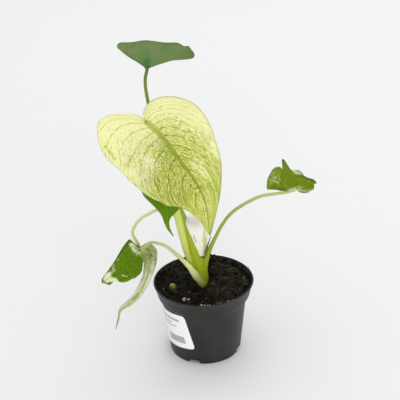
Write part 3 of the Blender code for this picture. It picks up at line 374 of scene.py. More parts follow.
# Crumbs seen behind the lip, perlite and bark chips, each with its place and radius, and with a
# height and a tone where it has its own
LIP_CRUMBS = (((6.8, 38, 62.2), 1.3), ((9.8, 37.6, 62), 1), ((4.6, 38.2, 61.8), 0.9),
              ((22, 31.5, 62), 0.7))
PERLITE = (((-15.7, -23.5), 1.7, 0.5), ((-12.2, -23.8), 1.4, 0.42), ((-14, -22.4), 0.8, 0.2),
           ((-11.7, -12), 0.8, 0.1), ((-10.7, -9), 0.6, 0.1), ((-27.9, 15.2), 0.9, 0.2),
           ((-18.9, 17.8), 0.6, 0.2), ((-32, -6.1), 0.9, 0.1), ((-29.1, -12.3), 0.7, 0.1),
           ((-26, -12.6), 0.8, 0.1), ((-22, -11.8), 0.7, 0.1), ((-24.4, -14), 0.6, 0.2),
           ((18.4, -27.3), 0.55, 0.5), ((22.4, -26.1), 0.5, 0.5), ((20.4, -26.4), 0.4, 0.4),
           ((32.3, 7), 0.9, 0.2), ((8.2, 3), 0.5, 0.2), ((-2.6, -37.8, 62), 0.5, 0.9),
           ((-1.4, -38.6, 62.1), 0.42, 0.9), ((0.4, -38.6, 62.1), 0.4, 0.7),
           ((2.6, -38.8, 62), 0.36, 0.6), ((4.3, -38.6, 62), 0.34, 0.5))
CHIPS = (((10.2, -36.9, 62.3), 1.7), ((14.4, -35.6, 62.3), 1.5), ((12.4, -36, 62), 1.3), ((33.8, 2), 1.6),
         ((34, -3.5), 1.3), ((32, -8), 1.1), ((18, 8), 1.6), ((34.6, 6.5), 1.2))
WALL_CRUMBS = 150
STREWN_FIBRES = 30
STREWN_CHIPS = 6

# The floor round the plant, as (radius, height) from its raised edge to the middle
FLOOR = ((3000, 700), (2800, 300), (2300, 60), (1600, 0), (400, 0), (0, 0))
# The camera of the photograph: its place in metres, and its right, up and forward directions
CAMERA_PLACE = (0, -0.684847, 0.47599)
CAMERA_RIGHT = (0.9993326672, -0.0158848248, -0.0328921364)
CAMERA_UP = (0.0365230415, 0.4477660037, 0.8934045407)
CAMERA_FORWARD = (-0.0005364059, 0.8940096634, -0.4480473568)


def a_colour(name, description, default):
    """A colour that a user can change."""
    return FloatVectorProperty(name=name, description=description, default=default,
                               subtype="COLOR", size=3, min=0, max=1)


def a_share(name, description, default, low, high):
    """A share that a user can change."""
    return FloatProperty(name=name, description=description, default=default, min=low, max=high,
                         subtype="FACTOR")


def a_length(name, description, default, low, high):
    """A length that a user can change, given in millimetres here."""
    return FloatProperty(name=name, description=description, default=default * MM, min=low * MM,
                         max=high * MM, precision=5, unit="LENGTH")


def a_power(name, description, default, high):
    """The power of a light that a user can change."""
    return FloatProperty(name=name, description=description, default=default, min=0, max=high,
                         unit="POWER")


class MONSTERA_PG_blades(bpy.types.PropertyGroup):
    thickness: a_length("Blade thickness", "Thickness of each leaf's blade", 0.4, 0.1, 0.8)
    pucker: a_share("Pucker", "How far the blade swells between its veins", 1, 0, 2)
    translucency: a_share("Light through", "Share of light a blade lets through", 0.35, 0, 0.6)
    gloss: a_share("Roughness", "Roughness of a leaf's upper side", 0.42, 0.1, 0.9)
    cream: a_colour("Cream", "Pale ground of the big leaf", BLADES["leaf_main"]["colours"][0])


class MONSTERA_PG_stalks(bpy.types.PropertyGroup):
    scale: a_share("Stalk thickness", "Thickness of the stalks, as a share", 1, 0.6, 1.1)
    dry: a_colour("Dry sheath", "Colour of the dry sheath", (0.06, 0.05, 0.03))


class MONSTERA_PG_pot(bpy.types.PropertyGroup):
    plastic: a_colour("Plastic", "Colour of the pot", (0.01, 0.01, 0.01))
    label: a_colour("Label", "Colour of the label's paper", (0.9, 0.905, 0.88))
    label_width: a_length("Label width", "Width of the label round the wall", 57, 20, 57)
    label_height: a_length("Label height", "Height of the paper label", 32, 10, 32)


class MONSTERA_PG_soil(bpy.types.PropertyGroup):
    colour: a_colour("Soil", "Colour of the damp soil", (0.0088, 0.0072, 0.0038))
    crumbs: IntProperty(name="Crumbs", description="Loose crumbs on the soil",
                        default=420, min=0, max=900)
    perlite: IntProperty(name="Perlite", description="White grains strewn on the soil",
                         default=4, min=0, max=60)


class MONSTERA_PG_stage(bpy.types.PropertyGroup):
    floor: a_colour("Floor", "Colour of the floor", (0.82, 0.825, 0.83))
    room: FloatProperty(name="Room light", description="Strength of the light from all sides",
                        default=0.84, min=0, max=3)
    overhead: a_power("Overhead light", "Power of the light above", 9, 100)
    front: a_power("Front light", "Power of the low light in front", 45, 200)
    lens: FloatProperty(name="Lens", description="Focal length of the camera", default=90,
                        min=20, max=200, unit="CAMERA")


# Meshes

def unit(vectors):
    """Vectors scaled to length one."""
    return vectors / np.maximum(np.linalg.norm(vectors, axis=-1, keepdims=True), 1e-9)


def runs(path):
    """How far along a path each of its points lies."""
    steps = np.linalg.norm(np.diff(path, axis=0), axis=1)
    return np.concatenate([[0], np.cumsum(steps)])


def read_table(places, steps, table):
    """Each column of a table, given at steps, read at places."""
    return np.stack([np.interp(places, steps, column) for column in table.T], axis=-1)


def smooth_path(route, count):
    """Evenly spaced points on a smooth curve through the route's points."""
    route = np.asarray(route, float)
    ends = np.vstack([2 * route[0] - route[1], route, 2 * route[-1] - route[-2]])
    curve = []
    for a, b, c, d in zip(ends, ends[1:], ends[2:], ends[3:]):
        for t in np.linspace(0, 1, 24, endpoint=False):
            curve.append(0.5 * (2 * b + (c - a) * t + (2 * a - 5 * b + 4 * c - d) * t ** 2
                                + (3 * b - a - 3 * c + d) * t ** 3))
    curve = np.array(curve + [route[-1]])
    run = runs(curve)
    return read_table(np.linspace(0, run[-1], count), run, curve)


def at_even_steps(values, share):
    """Values given at even steps, read at a share of the way."""
    values = np.asarray(values, float)
    steps = np.linspace(0, 1, len(values))
    if values.ndim == 1:
        return np.interp(share, steps, values)
    return read_table(share, steps, values)


def of_half(values, half):
    """What is given for one half of a leaf, where a single row serves both."""
    return values[half] if isinstance(values[0], tuple) else values


def smooth_step(value, low, high):
    """A soft step from 0 at low to 1 at high."""
    t = np.clip((value - low) / (high - low), 0, 1)
    return t * t * (3 - 2 * t)


def linked(name, data):
    """An object of a mesh, a light or a camera, linked to the scene."""
    obj = bpy.data.objects.new(name, data)
    bpy.context.scene.collection.objects.link(obj)
    return obj


def surface(name, points, faces, material):
    """A smooth mesh object from points in millimetres."""
    mesh = bpy.data.meshes.new(name)
    mesh.from_pydata((np.asarray(points, float) * MM).tolist(), [], faces)
    mesh.validate()
    mesh.shade_smooth()
    mesh.materials.append(material)
    return linked(name, mesh)


def add_piece(name, points, faces, material, replaced=None, masks=None):
    """Make a piece of the object, and let it ride on the body."""
    obj = surface(name, points, faces, material)
    for key, values in (masks or {}).items():
        layer = obj.data.attributes.new(key, "FLOAT_VECTOR", "POINT")
        layer.data.foreach_set("vector", np.asarray(values, np.float32).ravel())
    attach(obj, BODY)
    if replaced:
        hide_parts(replaced)
    return obj


def joined(parts):
    """Several (points, faces, masks) as one."""
    points, faces, masks, count = [], [], {}, 0
    for part_points, part_faces, part_masks in parts:
        points.append(part_points)
        faces += [tuple(corner + count for corner in face) for face in part_faces]
        for key, values in part_masks.items():
            masks.setdefault(key, []).append(values)
        count += len(part_points)
    return np.vstack(points), faces, {key: np.vstack(values) for key, values in masks.items()}


def toned(points, tone):
    """A mask that gives points a tone."""
    tones = np.zeros((len(points), 3))
    tones[:, 0] = tone
    return {"tone": tones}


def quads(grid):
    """Faces between the points of a grid of indices."""
    corners = np.stack([grid[:-1, :-1], grid[1:, :-1], grid[1:, 1:], grid[:-1, 1:]], axis=-1)
    return corners.reshape(-1, 4).tolist()


def slab(upper, lower, faces, ring):
    """A thin closed solid between two layers of points, with a wall round their ring."""
    count = len(upper)
    closed = faces + [tuple(corner + count for corner in face[::-1]) for face in faces]
    closed += [(b, a, a + count, b + count) for a, b in zip(ring, ring[1:] + ring[:1])]
    return np.vstack([upper, lower]), closed


class Blade:
    """The bent surface that a leaf's flat outline is laid on."""

    def __init__(self, leaf):
        self.leaf = leaf
        self.path = smooth_path(leaf["midrib"], MIDRIB_POINTS)
        self.length = runs(self.path)[-1]
        self.along = unit(np.gradient(self.path, axis=0))
        faces = np.asarray(leaf.get("faces", FACES), float)
        self.up = unit(faces - (self.along @ faces)[:, None] * self.along)
        self.across = np.cross(self.along, self.up)
        self.places = np.linspace(0, self.length, MIDRIB_POINTS)

    def points(self, half, distance, place, lift=0):
        """Where spots of the flat outline lie on the bent blade."""
        held = np.clip(place, 0, self.length)
        fold, curl = (np.radians(at_even_steps(of_half(self.leaf.get(key, (0,)), half),
                                               held / self.length)) for key in ("fold", "curl"))
        end = fold + curl * distance
        bends = np.abs(curl) > 1e-6
        rate = np.where(bends, curl, 1)
        out = np.where(bends, (np.sin(end) - np.sin(fold)) / rate, distance * np.cos(fold))
        rise = np.where(bends, (np.cos(fold) - np.cos(end)) / rate, distance * np.sin(fold))
        path, along, across, up = (read_table(held, self.places, table) for table in
                                   (self.path, self.along, self.across, self.up))
        out = out if half == 0 else -out
        return (path + (place - held)[..., None] * along + out[..., None] * across
                + (rise + lift)[..., None] * up)


def blade_grid(leaf, rows, columns, arch):
    """A blade's middle surface: the blade, points, faces, the ring of its margin, and each
    point's place on the flat leaf as (distance from the midrib, distance along it, distance from
    the margin) and along its veins as (share down the midrib, distance along the vein,
    millimetres in a whole share)."""
    blade = Blade(leaf)
    size, count, phase = leaf["wave"]
    share = np.linspace(0, 1, rows + 1)
    out = np.linspace(0, 1, columns + 1) ** 1.2
    rib = blade.length * (0.1 * share + 0.9 * share ** 2.6)
    inner = (rows - 1) * columns
    points, flat, vein = (np.zeros((rows + 1 + 2 * inner, 3)) for _ in range(3))
    faces, grids = [], []
    for half, side in enumerate(("left", "right")):
        margin = leaf.get(side, leaf["left"])
        edge = smooth_path(((0, 0), *margin, (0, blade.length)), rows + 1)
        reach = np.maximum(edge[:, 0], 0.3)
        reach[0] = reach[-1] = 0
        distance = reach[:, None] * out
        place = (1 - out) * rib[:, None] + out * edge[:, 1, None]
        lift = size * out ** 2 * np.sin(2 * math.pi * count * share + phase + 2 * half)[:, None]
        lift[0] = lift[-1] = 0
        spread = np.linalg.norm(np.gradient(np.stack([distance, place], axis=-1), share, axis=0),
                                axis=-1)
        row_length = np.hypot(edge[:, 0], edge[:, 1] - rib)[:, None]
        sign = 2 * half - 1
        grid = np.zeros((rows + 1, columns + 1), int)
        grid[:, 0] = np.arange(rows + 1)
        grid[rows, :] = rows
        start = rows + 1 + half * inner
        grid[1:rows, 1:] = start + np.arange(inner).reshape(rows - 1, columns)
        grids.append(grid)
        points[grid] = blade.points(half, distance, place, lift)
        flat[grid] = np.stack([sign * distance, place, (1 - out) * row_length], axis=-1)
        arched = share[:, None] - at_even_steps(of_half(arch, half), share)[:, None] * out ** 2
        vein[grid] = np.stack([arched, sign * out * row_length, spread], axis=-1)
        for corners in quads(grid):
            face = tuple(dict.fromkeys(corners))
            if len(face) > 2:
                faces.append(face if half else face[::-1])
    ring = [*grids[0][:, -1].tolist(), *grids[1][rows - 1:0:-1, -1].tolist()]
    return blade, points, faces, ring, flat, vein


def point_normals(points, faces):
    """Normals of points, from the faces round each."""
    normals = np.zeros_like(points)
    for face in faces:
        a, b, c = (points[face[k]] for k in (0, 1, 2))
        facing = np.cross(b - a, c - a)
        if len(face) == 4:
            facing = facing + np.cross(c - a, points[face[3]] - a)
        for corner in face:
            normals[corner] += facing
    return unit(normals)


def marked(marks, flat):
    """How strongly streaks and spots cover each place on the flat leaf."""
    cover = np.zeros(len(flat))
    for *ends, reach, strength in marks:
        start, end = np.reshape(ends, (2, 2))
        line = end - start
        off = flat[:, :2] - start
        share = np.clip(off @ line / max(line @ line, 1e-6), 0, 1)
        away = np.linalg.norm(off - share[:, None] * line, axis=1)
        cover += strength * np.exp(-(away / reach) ** 2)
    return cover


def blade_tint(look, flat, vein):
    """How pale, how dark and how brown a blade is at each place."""
    right = flat[:, 0] > 0
    down = np.clip(vein[:, 0], 0, 1)
    rows = [at_even_steps(of_half(look["pale"], half), down) for half in (0, 1)]
    layers = []
    for key, start in (("pale", np.where(right, rows[1], rows[0])), ("dark", 0), ("brown", 0)):
        rims = look.get("rims", {}).get(key, (0, 0))
        rim = np.where(right, rims[1], rims[0]) * np.exp(-(flat[:, 2] / RIM_REACH) ** 2)
        layers.append(start + rim + marked(look.get(key + "_marks", ()), flat))
    return np.stack(layers, axis=-1)


def blade_solid(name, look, thickness, pucker):
    """A thin closed blade whose tissue swells between its lateral veins, with a groove over the
    midrib and a ridge under it, and a thin margin: points, faces and masks."""
    blade, points, faces, ring, flat, vein = blade_grid(LEAVES[name], *look["mesh"],
                                                        look.get("arch", ARCH))
    count = look["veins"]
    side = np.abs(flat[:, 0])
    down = flat[:, 1] / blade.length
    held = np.clip(down, 0, 1)
    between = np.abs(np.sin(math.pi * vein[:, 0] * count)) ** 0.7
    calm = smooth_step(side, 0.5, CALM_REACH) * smooth_step(flat[:, 2], 0.3, CALM_REACH)
    calm *= np.clip(vein[:, 2] / count / 8, 0, 1)
    swell = look["pucker"] * pucker * (between - 0.5) * calm
    ridge = at_even_steps(look["ridge"], held) * np.exp(-(side / RIDGE_REACH) ** 2)
    half = thickness / 2 * (0.45 + 0.55 * smooth_step(flat[:, 2], 0, MARGIN_REACH))
    normals = point_normals(points, faces)
    solid, closed = slab(points + (half + swell - GROOVE * ridge)[:, None] * normals,
                         points - (half - swell + ridge)[:, None] * normals, faces, ring)
    off = side / at_even_steps(look["rib"], held) + 4 * smooth_step(-flat[:, 1], 0, 3)
    tint = blade_tint(look, flat, vein)
    masks = {key: np.vstack([mask, mask])
             for key, mask in (("flat", flat), ("vein", vein), ("tint", tint))}
    masks["rib"] = np.vstack([np.column_stack([off, down, np.full(len(off), under)])
                              for under in (0, 1)])
    return solid, closed, masks


def tube(path, radii, sides, facing=None, ripple=0.03, seed=0, start=0):
    """A closed tube along a path, with faint ribs down its length: points, faces and masks.
    Its far end is cut flat across the way that it is facing. The path may begin a share of the
    way down the whole."""
    path = np.asarray(path, float)
    along = unit(np.gradient(path, axis=0))
    side = np.cross(along[0], (0.3, 0.2, 1) if abs(along[0][2]) < 0.8 else (1, 0, 0))
    run = runs(path)
    angles = 2 * math.pi * np.arange(sides) / sides
    points, spots = [], []
    for centre, direction, radius, distance in zip(path, along, radii, run):
        side = unit(side - side.dot(direction) * direction)
        other = np.cross(direction, side)
        swell = 1 + ripple * np.sin(3 * angles + seed + distance * 0.05)
        swell = swell + 0.5 * ripple * np.sin(distance * 0.9 + 2 * np.sin(angles + seed))
        points += list(centre + radius * swell[:, None] * (np.cos(angles)[:, None] * side
                                                           + np.sin(angles)[:, None] * other))
        share = start + (1 - start) * distance / run[-1]
        spots += [(share, distance, angle) for angle in angles]
    last = (len(path) - 1) * sides
    if facing is not None:
        for k in range(last, last + sides):
            off = (points[k] - path[-1]).dot(facing) / along[-1].dot(facing)
            points[k] = points[k] - off * along[-1]
    faces = [(a + k, a + (k + 1) % sides, a + sides + (k + 1) % sides, a + sides + k)
             for a in range(0, last, sides) for k in range(sides)]
    faces += [tuple(reversed(range(sides))), tuple(range(last, last + sides))]
    return np.array(points), faces, {"run": np.array(spots)}


def turned(distance, angle):
    """A place at a distance from the pot's axis."""
    return distance * math.cos(math.radians(angle)), distance * math.sin(math.radians(angle))


def turned_points(outline, segments):
    """Turn an outline of (radius, height) points that reaches the axis."""
    points, rings, faces = [], [], []
    for radius, height in outline:
        count = segments if radius else 1
        rings.append([len(points) + k % count for k in range(segments)])
        points += [(*turned(radius, 360 * k / segments), height) for k in range(count)]
    for low, high in zip(rings, rings[1:]):
        for k in range(segments):
            after = (k + 1) % segments
            corners = (low[k], low[after], high[after], high[k])
            faces.append(tuple(dict.fromkeys(corners)))
    return np.array(points), faces


def rounded(outline, radius):
    """An outline with its corners rounded."""
    outline = np.asarray(outline, float)
    result = [tuple(outline[0])]
    for before, corner, after in zip(outline, outline[1:], outline[2:]):
        back, ahead = before - corner, after - corner
        reach = min(radius, 0.45 * np.linalg.norm(back), 0.45 * np.linalg.norm(ahead))
        start, end = corner + reach * unit(back), corner + reach * unit(ahead)
        for t in np.linspace(0, 1, 5):
            point = (1 - t) ** 2 * start + 2 * t * (1 - t) * corner + t ** 2 * end
            result.append(tuple(point))
    return result + [tuple(outline[-1])]


# Materials

class Finish:
    """The nodes of one material. Lengths are in millimetres where masks give them."""

    def __init__(self, name, specular):
        self.material = bpy.data.materials.new(name)
        self.material.use_nodes = True
        self.tree = self.material.node_tree
        self.shader = self.tree.nodes["Principled BSDF"]
        self.feed(self.shader.inputs["Specular IOR Level"], specular)

    def feed(self, socket, value):
        """Link a socket to another, or set its value."""
        if isinstance(value, bpy.types.NodeSocket):
            self.tree.links.new(value, socket)
        elif socket.type == "RGBA":
            socket.default_value = (*value[:3], 1)
        else:
            socket.default_value = value

    def node(self, kind, inputs=(), **settings):
        """A node with its settings, and its inputs fed by name or number."""
        node = self.tree.nodes.new("ShaderNode" + kind)
        for key, value in settings.items():
            setattr(node, key, value)
        for key, value in dict(inputs).items():
            self.feed(node.inputs[key], value)
        return node

    def mask(self, name):
        """The three values of a mask."""
        read = self.node("Attribute", attribute_name=name)
        return self.node("SeparateXYZ", {0: read.outputs["Vector"]}).outputs

    def place(self):
        """Place in the object's own space, in metres."""
        return self.node("TexCoord").outputs["Object"]

    def height(self):
        """Height in the object's own space, in metres."""
        return self.node("SeparateXYZ", {0: self.place()}).outputs[2]

    def vector(self, *values):
        """Two or three values as a vector."""
        return self.node("CombineXYZ", enumerate(values)).outputs[0]

    def sum(self, operation, *values):
        """Arithmetic on one, two or three values."""
        return self.node("Math", enumerate(values), operation=operation).outputs[0]

    def times(self, first, second):
        """The product of two values."""
        return self.sum("MULTIPLY", first, second)

    def plus(self, value, factor, base):
        """A value times a factor, added to a base."""
        return self.sum("MULTIPLY_ADD", value, factor, base)

    def off(self, value, middle):
        """A value less its middle."""
        return self.sum("SUBTRACT", value, middle)

    def swing(self, value, factor, base):
        """A value's swing about one half, times a factor, added to a base."""
        return self.plus(self.off(value, 0.5), factor, base)

    def fade(self, value, low, high, start=0, end=1):
        """A soft step between two values."""
        return self.node("MapRange", enumerate((value, low, high, start, end)),
                         interpolation_type="SMOOTHSTEP").outputs[0]

    def grain(self, vector, scale, detail=2, rough=0.5, warp=0):
        """Noise about one half."""
        return self.node("TexNoise", {"Vector": vector, "Scale": scale, "Detail": detail,
                                      "Roughness": rough, "Distortion": warp}).outputs[0]

    def mix(self, share, first, second, mode="MIX"):
        """Two colours mixed."""
        node = self.node("Mix", {0: share}, data_type="RGBA", blend_type=mode)
        self.feed(node.inputs[6], first)
        self.feed(node.inputs[7], second)
        return node.outputs[2]

    def tinted(self, colour, tint):
        """A colour times a tint."""
        return self.mix(1, colour, tint, "MULTIPLY")

    def cover(self, colour, tone, share, amount):
        """A colour covered by a tone, by a share of an amount."""
        return self.mix(self.times(share, amount), colour, tone)

    def ramp(self, share, colours, places=None):
        """A colour ramp through colours, evenly placed unless places are given."""
        node = self.node("ValToRGB", {0: share})
        places = places or [k / (len(colours) - 1) for k in range(len(colours))]
        marks = node.color_ramp.elements
        while len(marks) < len(colours):
            marks.new(1)
        for mark, place, colour in zip(marks, places, colours):
            mark.position = place
            mark.color = (*colour, 1)
        return node.outputs[0]

    def bump(self, height, distance, strength):
        """A normal raised by a height, up to a distance in millimetres."""
        return self.node("Bump", {"Strength": strength, "Distance": distance * MM,
                                  "Height": height}).outputs[0]

    def done(self, colour, roughness, normal):
        """Link the colour, the roughness and the normal, and hand over the material."""
        for key, value in (("Base Color", colour), ("Roughness", roughness), ("Normal", normal)):
            self.feed(self.shader.inputs[key], value)
        return self.material

    def let_light_through(self, colour, amount, normal):
        """Mix in light from behind the blade."""
        through = self.node("BsdfTranslucent", {"Color": colour, "Normal": normal})
        mixed = self.node("MixShader", {0: amount, 1: self.shader.outputs[0],
                                        2: through.outputs[0]})
        output = next(n for n in self.tree.nodes if n.type == "OUTPUT_MATERIAL")
        self.feed(output.inputs["Surface"], mixed.outputs[0])


def dimmed(colour, factor):
    """A colour times a factor."""
    return [c * factor for c in colour]


def vein_lines(finish, share, spread, count, low, high):
    """Lines at even steps of the share, from 1 on the line to 0 at a distance of it."""
    step = finish.sum("FRACT", finish.plus(share, count, 0.5))
    off = finish.sum("ABSOLUTE", finish.off(step, 0.5))
    return finish.fade(finish.sum("DIVIDE", finish.times(off, spread), count), high, low)


def blade_finish(name, look, settings):
    """A leaf's blade: pale ground, yellow-green wash, a net of green and darker strokes along its
    veins, the midrib's band, and pale, dark and brown marks."""
    ground, wash, patch, stroke = look["colours"]
    finish = Finish(name, 0.06)
    side, place, _ = finish.mask("flat")
    share, along, spread = finish.mask("vein")
    pale, dark, brown = finish.mask("tint")
    off, down, under = finish.mask("rib")
    laid = finish.vector(side, place)
    wavy = finish.swing(finish.grain(laid, 0.16), 0.03, share)
    run = finish.vector(finish.times(wavy, 110), finish.times(along, 0.36))
    green = finish.off(1, pale)

    cloud = finish.swing(finish.grain(laid, 0.3, 3), 0.9, green)
    colour = finish.mix(finish.fade(cloud, 0.1, 0.75), ground, wash)
    blots = finish.grain(laid, 0.75, 3, 0.65, 0.5)
    streaks = finish.grain(run, 0.75, 3, 0.6)
    cells = finish.node("TexVoronoi", {"Vector": run, "Scale": 0.55}, feature="DISTANCE_TO_EDGE")
    net = finish.fade(cells.outputs["Distance"], 0.3, 0.02)
    mottle = finish.plus(net, 0.1, finish.plus(blots, 0.4, finish.times(streaks, 0.5)))
    colour = finish.mix(finish.fade(finish.plus(green, 0.17, mottle), 0.57, 0.67), colour, patch)
    lean = finish.plus(green, 0.17, finish.grain(run, 1.3, 3, 0.6))
    colour = finish.cover(colour, patch, finish.fade(lean, 0.54, 0.65), 0.5 * look["stroke"])
    colour = finish.cover(colour, stroke, finish.fade(lean, 0.6, 0.72), look["stroke"])

    gaps = finish.fade(finish.grain(laid, 0.3), 0.32, 0.5)
    vein_tone = finish.mix(finish.fade(green, 0, 0.6), patch, stroke)
    main_veins = vein_lines(finish, wavy, spread, look["veins"], 0.1, 0.7)
    small_veins = vein_lines(finish, wavy, spread, look["veins"] * 4, 0.05, 0.4)
    colour = finish.cover(colour, vein_tone, finish.times(main_veins, gaps), look["vein"])
    colour = finish.cover(colour, vein_tone, finish.times(small_veins, green), look["vein"] * 0.4)

    ragged = finish.swing(streaks, 3, off)
    band = finish.ramp(down, look["rib_colours"])
    colour = finish.cover(colour, band, finish.fade(ragged, 1.35, 0.55), 0.92)
    under_tone = finish.mix(finish.fade(finish.grain(laid, 0.09, 3, 0.6), 0.42, 0.62),
                            look["under_tone"], look.get("under_drift", look["under_tone"]))
    colour = finish.cover(colour, under_tone, under, look["under"])
    colour = finish.mix(dark, colour, stroke)
    colour = finish.mix(brown, colour, BROWN)

    dust = finish.grain(laid, 3, 3, 0.6)
    rough = finish.plus(under, 0.2, finish.plus(dust, 0.16, settings.gloss - 0.08))
    height = finish.sum("SUBTRACT", finish.times(blots, 0.5), finish.times(main_veins, 0.6))
    normal = finish.bump(finish.plus(dust, 0.25, height), 0.2, 0.6)
    glow = finish.tinted(colour, look.get("glow", (1, 1, 0.55)))
    finish.let_light_through(glow, look.get("through", settings.translucency), normal)
    return finish.done(colour, rough, normal)


def stalk_finish(name, colours):
    """A fleshy stalk: colours from the stem to the leaf, with fine streaks along it."""
    finish = Finish(name, 0.1)
    share, distance, angle = finish.mask("run")
    round_it = [finish.times(finish.sum(wave, angle), 3) for wave in ("SINE", "COSINE")]
    streaks = finish.grain(finish.vector(*round_it, finish.times(distance, 0.06)), 1.4, 3, 0.6)
    blotch = finish.grain(finish.place(), 160, 3, 0.55)
    tone = finish.ramp(share, colours)
    light, deep = finish.tinted(tone, LIGHTER), finish.tinted(tone, DEEPER)
    colour = finish.cover(tone, light, finish.fade(streaks, 0.5, 0.72), 0.25)
    deep_share = finish.times(finish.fade(streaks, 0.46, 0.3), 0.25)
    blotches = finish.times(finish.fade(blotch, 0.6, 0.75), 0.3)
    colour = finish.mix(finish.sum("MAXIMUM", deep_share, blotches), colour, deep)
    return finish.done(colour, finish.plus(blotch, 0.2, 0.34), finish.bump(streaks, 0.15, 0.5))


def crown_finish():
    """The fleshy crown: the stalks' colours, with their painted shade low down near the soil, and faint
    upright streaks.
    """
    finish = Finish("crown_green", 0.08)
    tone = finish.node("CombineColor", enumerate(finish.mask("tone"))).outputs[0]
    upright = finish.node("VectorMath", {0: finish.place(), 1: (1, 1, 0.12)},
                          operation="MULTIPLY").outputs[0]
    streaks = finish.grain(upright, 900, 3, 0.6)
    blotch = finish.grain(finish.place(), 160, 3, 0.55)
    light, deep = finish.tinted(tone, LIGHTER), finish.tinted(tone, DEEPER)
    colour = finish.cover(tone, light, finish.fade(streaks, 0.5, 0.72), 0.3)
    colour = finish.cover(colour, deep, finish.fade(blotch, 0.55, 0.75), 0.3)
    return finish.done(colour, finish.plus(blotch, 0.2, 0.36), finish.bump(streaks, 0.15, 0.5))


def pot_finish(plastic):
    """Matte black plastic with fine grain, and dust that lies thickest at the collar."""
    finish = Finish("black_plastic", 0.35)
    mottle = finish.grain(finish.place(), 45, 4, 0.6)
    dust = finish.grain(finish.place(), 260, 4, 0.7)
    lighter = [c * 1.6 + 0.004 for c in plastic]
    colour = finish.mix(finish.fade(mottle, 0.35, 0.7), plastic, lighter)
    collar = finish.fade(finish.height(), 47 * MM, 60 * MM)
    colour = finish.cover(colour, (0.020, 0.017, 0.010), collar, 0.5)
    specks = finish.times(finish.fade(dust, 0.62, 0.72), 0.35)
    specks = finish.times(specks, finish.plus(collar, 0.7, 0.3))
    colour = finish.mix(specks, colour, (0.16, 0.15, 0.13))
    rough = finish.plus(specks, 0.5, finish.plus(mottle, 0.2, 0.36))
    return finish.done(colour, rough, finish.bump(finish.grain(finish.place(), 900, 2, 0.6),
                                                  0.06, 0.5))


def label_finish(paper):
    """Coated paper with plain grey bars."""
    finish = Finish("label_paper", 0.4)
    across, up, _ = finish.mask("sheet")
    fibre = finish.grain(finish.vector(across, up), 1.6, 4, 0.6)
    colour = finish.mix(finish.fade(fibre, 0.35, 0.65), paper, dimmed(paper, 0.93))
    bars = 0
    for middle, half_height, start, end in LABEL_BARS:
        sides = [finish.fade(finish.sum("ABSOLUTE", finish.off(value, centre)), half + 0.15,
                             half - 0.15)
                 for value, centre, half in ((up, middle, half_height),
                                             (across, (start + end) / 2, (end - start) / 2))]
        bars = finish.sum("MAXIMUM", bars, finish.times(*sides))
    colour = finish.cover(colour, (0.26, 0.26, 0.26), bars, 0.75)
    return finish.done(colour, finish.plus(fibre, 0.2, 0.4), finish.bump(fibre, 0.05, 0.4))


def soil_finish(name, colour, light):
    """Damp soil or bark, with painted shade in its hollows, where the noise that lowers its bump also
    darkens its colour, each crumb with a tone of its own.
    """
    finish = Finish(name, 0.08)
    lumps_and_hollow_shade = finish.grain(finish.place(), 260, 4, 0.7)
    fine = finish.grain(finish.place(), 1100, 3, 0.7)
    lean = finish.swing(lumps_and_hollow_shade, 1, finish.mask("tone")[0])
    # The dark end of this ramp falls where the lumps' noise is low, in the bump's hollows: painted shade.
    base = finish.ramp(finish.fade(lean, 0.1, 1),
                       (dimmed(colour, 0.4), dimmed(colour, 1.7), light), (0, 0.6, 1))
    height = finish.plus(fine, 0.5, lumps_and_hollow_shade)
    return finish.done(base, finish.plus(fine, 0.3, 0.6), finish.bump(height, 0.5, 0.8))


def stub_finish():
    """A cut stub: brown at the soil, olive above, yellow-green on its cut face."""
    finish = Finish("stub_green", 0.2)
    mottle = finish.grain(finish.place(), 420, 4, 0.65)
    lean = finish.plus(mottle, 1.2 * MM, finish.height())
    share = finish.node("MapRange", {0: lean, 1: 58 * MM, 2: 64.6 * MM}).outputs[0]
    colour = finish.ramp(share, ((0.02, 0.018, 0.008), (0.05, 0.05, 0.008), (0.11, 0.125, 0.01),
                                 (0.30, 0.335, 0.03)), (0, 0.45, 0.72, 1))
    colour = finish.cover(colour, (0.03, 0.026, 0.01), finish.fade(mottle, 0.5, 0.66), 0.6)
    return finish.done(colour, finish.plus(mottle, 0.3, 0.35), finish.bump(mottle, 0.3, 0.6))


def dry_finish(name, tone, pale):
    """Papery dry tissue with fine lengthwise fibres."""
    finish = Finish(name, 0.25)
    side, place, _ = finish.mask("flat")
    fibres = finish.grain(finish.vector(finish.times(side, 6), place), 0.5, 4, 0.6)
    spots = finish.grain(finish.place(), 300, 3, 0.6)
    colour = finish.mix(finish.fade(fibres, 0.35, 0.68), tone, pale)
    colour = finish.mix(finish.fade(spots, 0.6, 0.75), colour, dimmed(tone, 0.5))
    return finish.done(colour, finish.plus(fibres, 0.2, 0.6), finish.bump(fibres, 0.15, 0.7))


def floor_finish(colour):
    """A plain pale floor."""
    finish = Finish("studio_floor", 0.1)
    cloud = finish.grain(finish.place(), 3)
    tone = finish.mix(cloud, colour, dimmed(colour, 0.99))
    return finish.done(tone, finish.fade(cloud, 0, 1, 0.85, 0.9),
                       finish.bump(finish.grain(finish.place(), 400), 0.01, 0.1))


# Pieces

def add_leaf(name, settings):
    """One leaf's blade, in place of its solid."""
    look = dict(BLADES[name])
    if name == "leaf_main":
        look["colours"] = (tuple(settings.cream), *look["colours"][1:])
    thickness = settings.thickness / MM
    parts = [blade_solid(name, look, thickness, settings.pucker)]
    if name == "leaf_right":
        flap = dict(look, **BLADES["torn_flap"])
        parts.append(blade_solid("torn_flap", flap, thickness, settings.pucker))
    points, faces, masks = joined(parts)
    add_piece(name + "_blade", points, faces, blade_finish(name, look, settings), name, masks)


def stalk_path(stalk):
    """A stalk's middle line from the stem to the underside of its blade, and the way it faces."""
    route = list(stalk["route"])
    facing = None
    if "beside" not in stalk:
        blade = Blade(LEAVES[stalk["leaf"]])
        facing = blade.up[0]
        zero = np.zeros(1)
        route.append(blade.points(0, zero, zero + 1.2)[0] - 0.25 * facing)
    return smooth_path(route, STALK_POINTS), facing


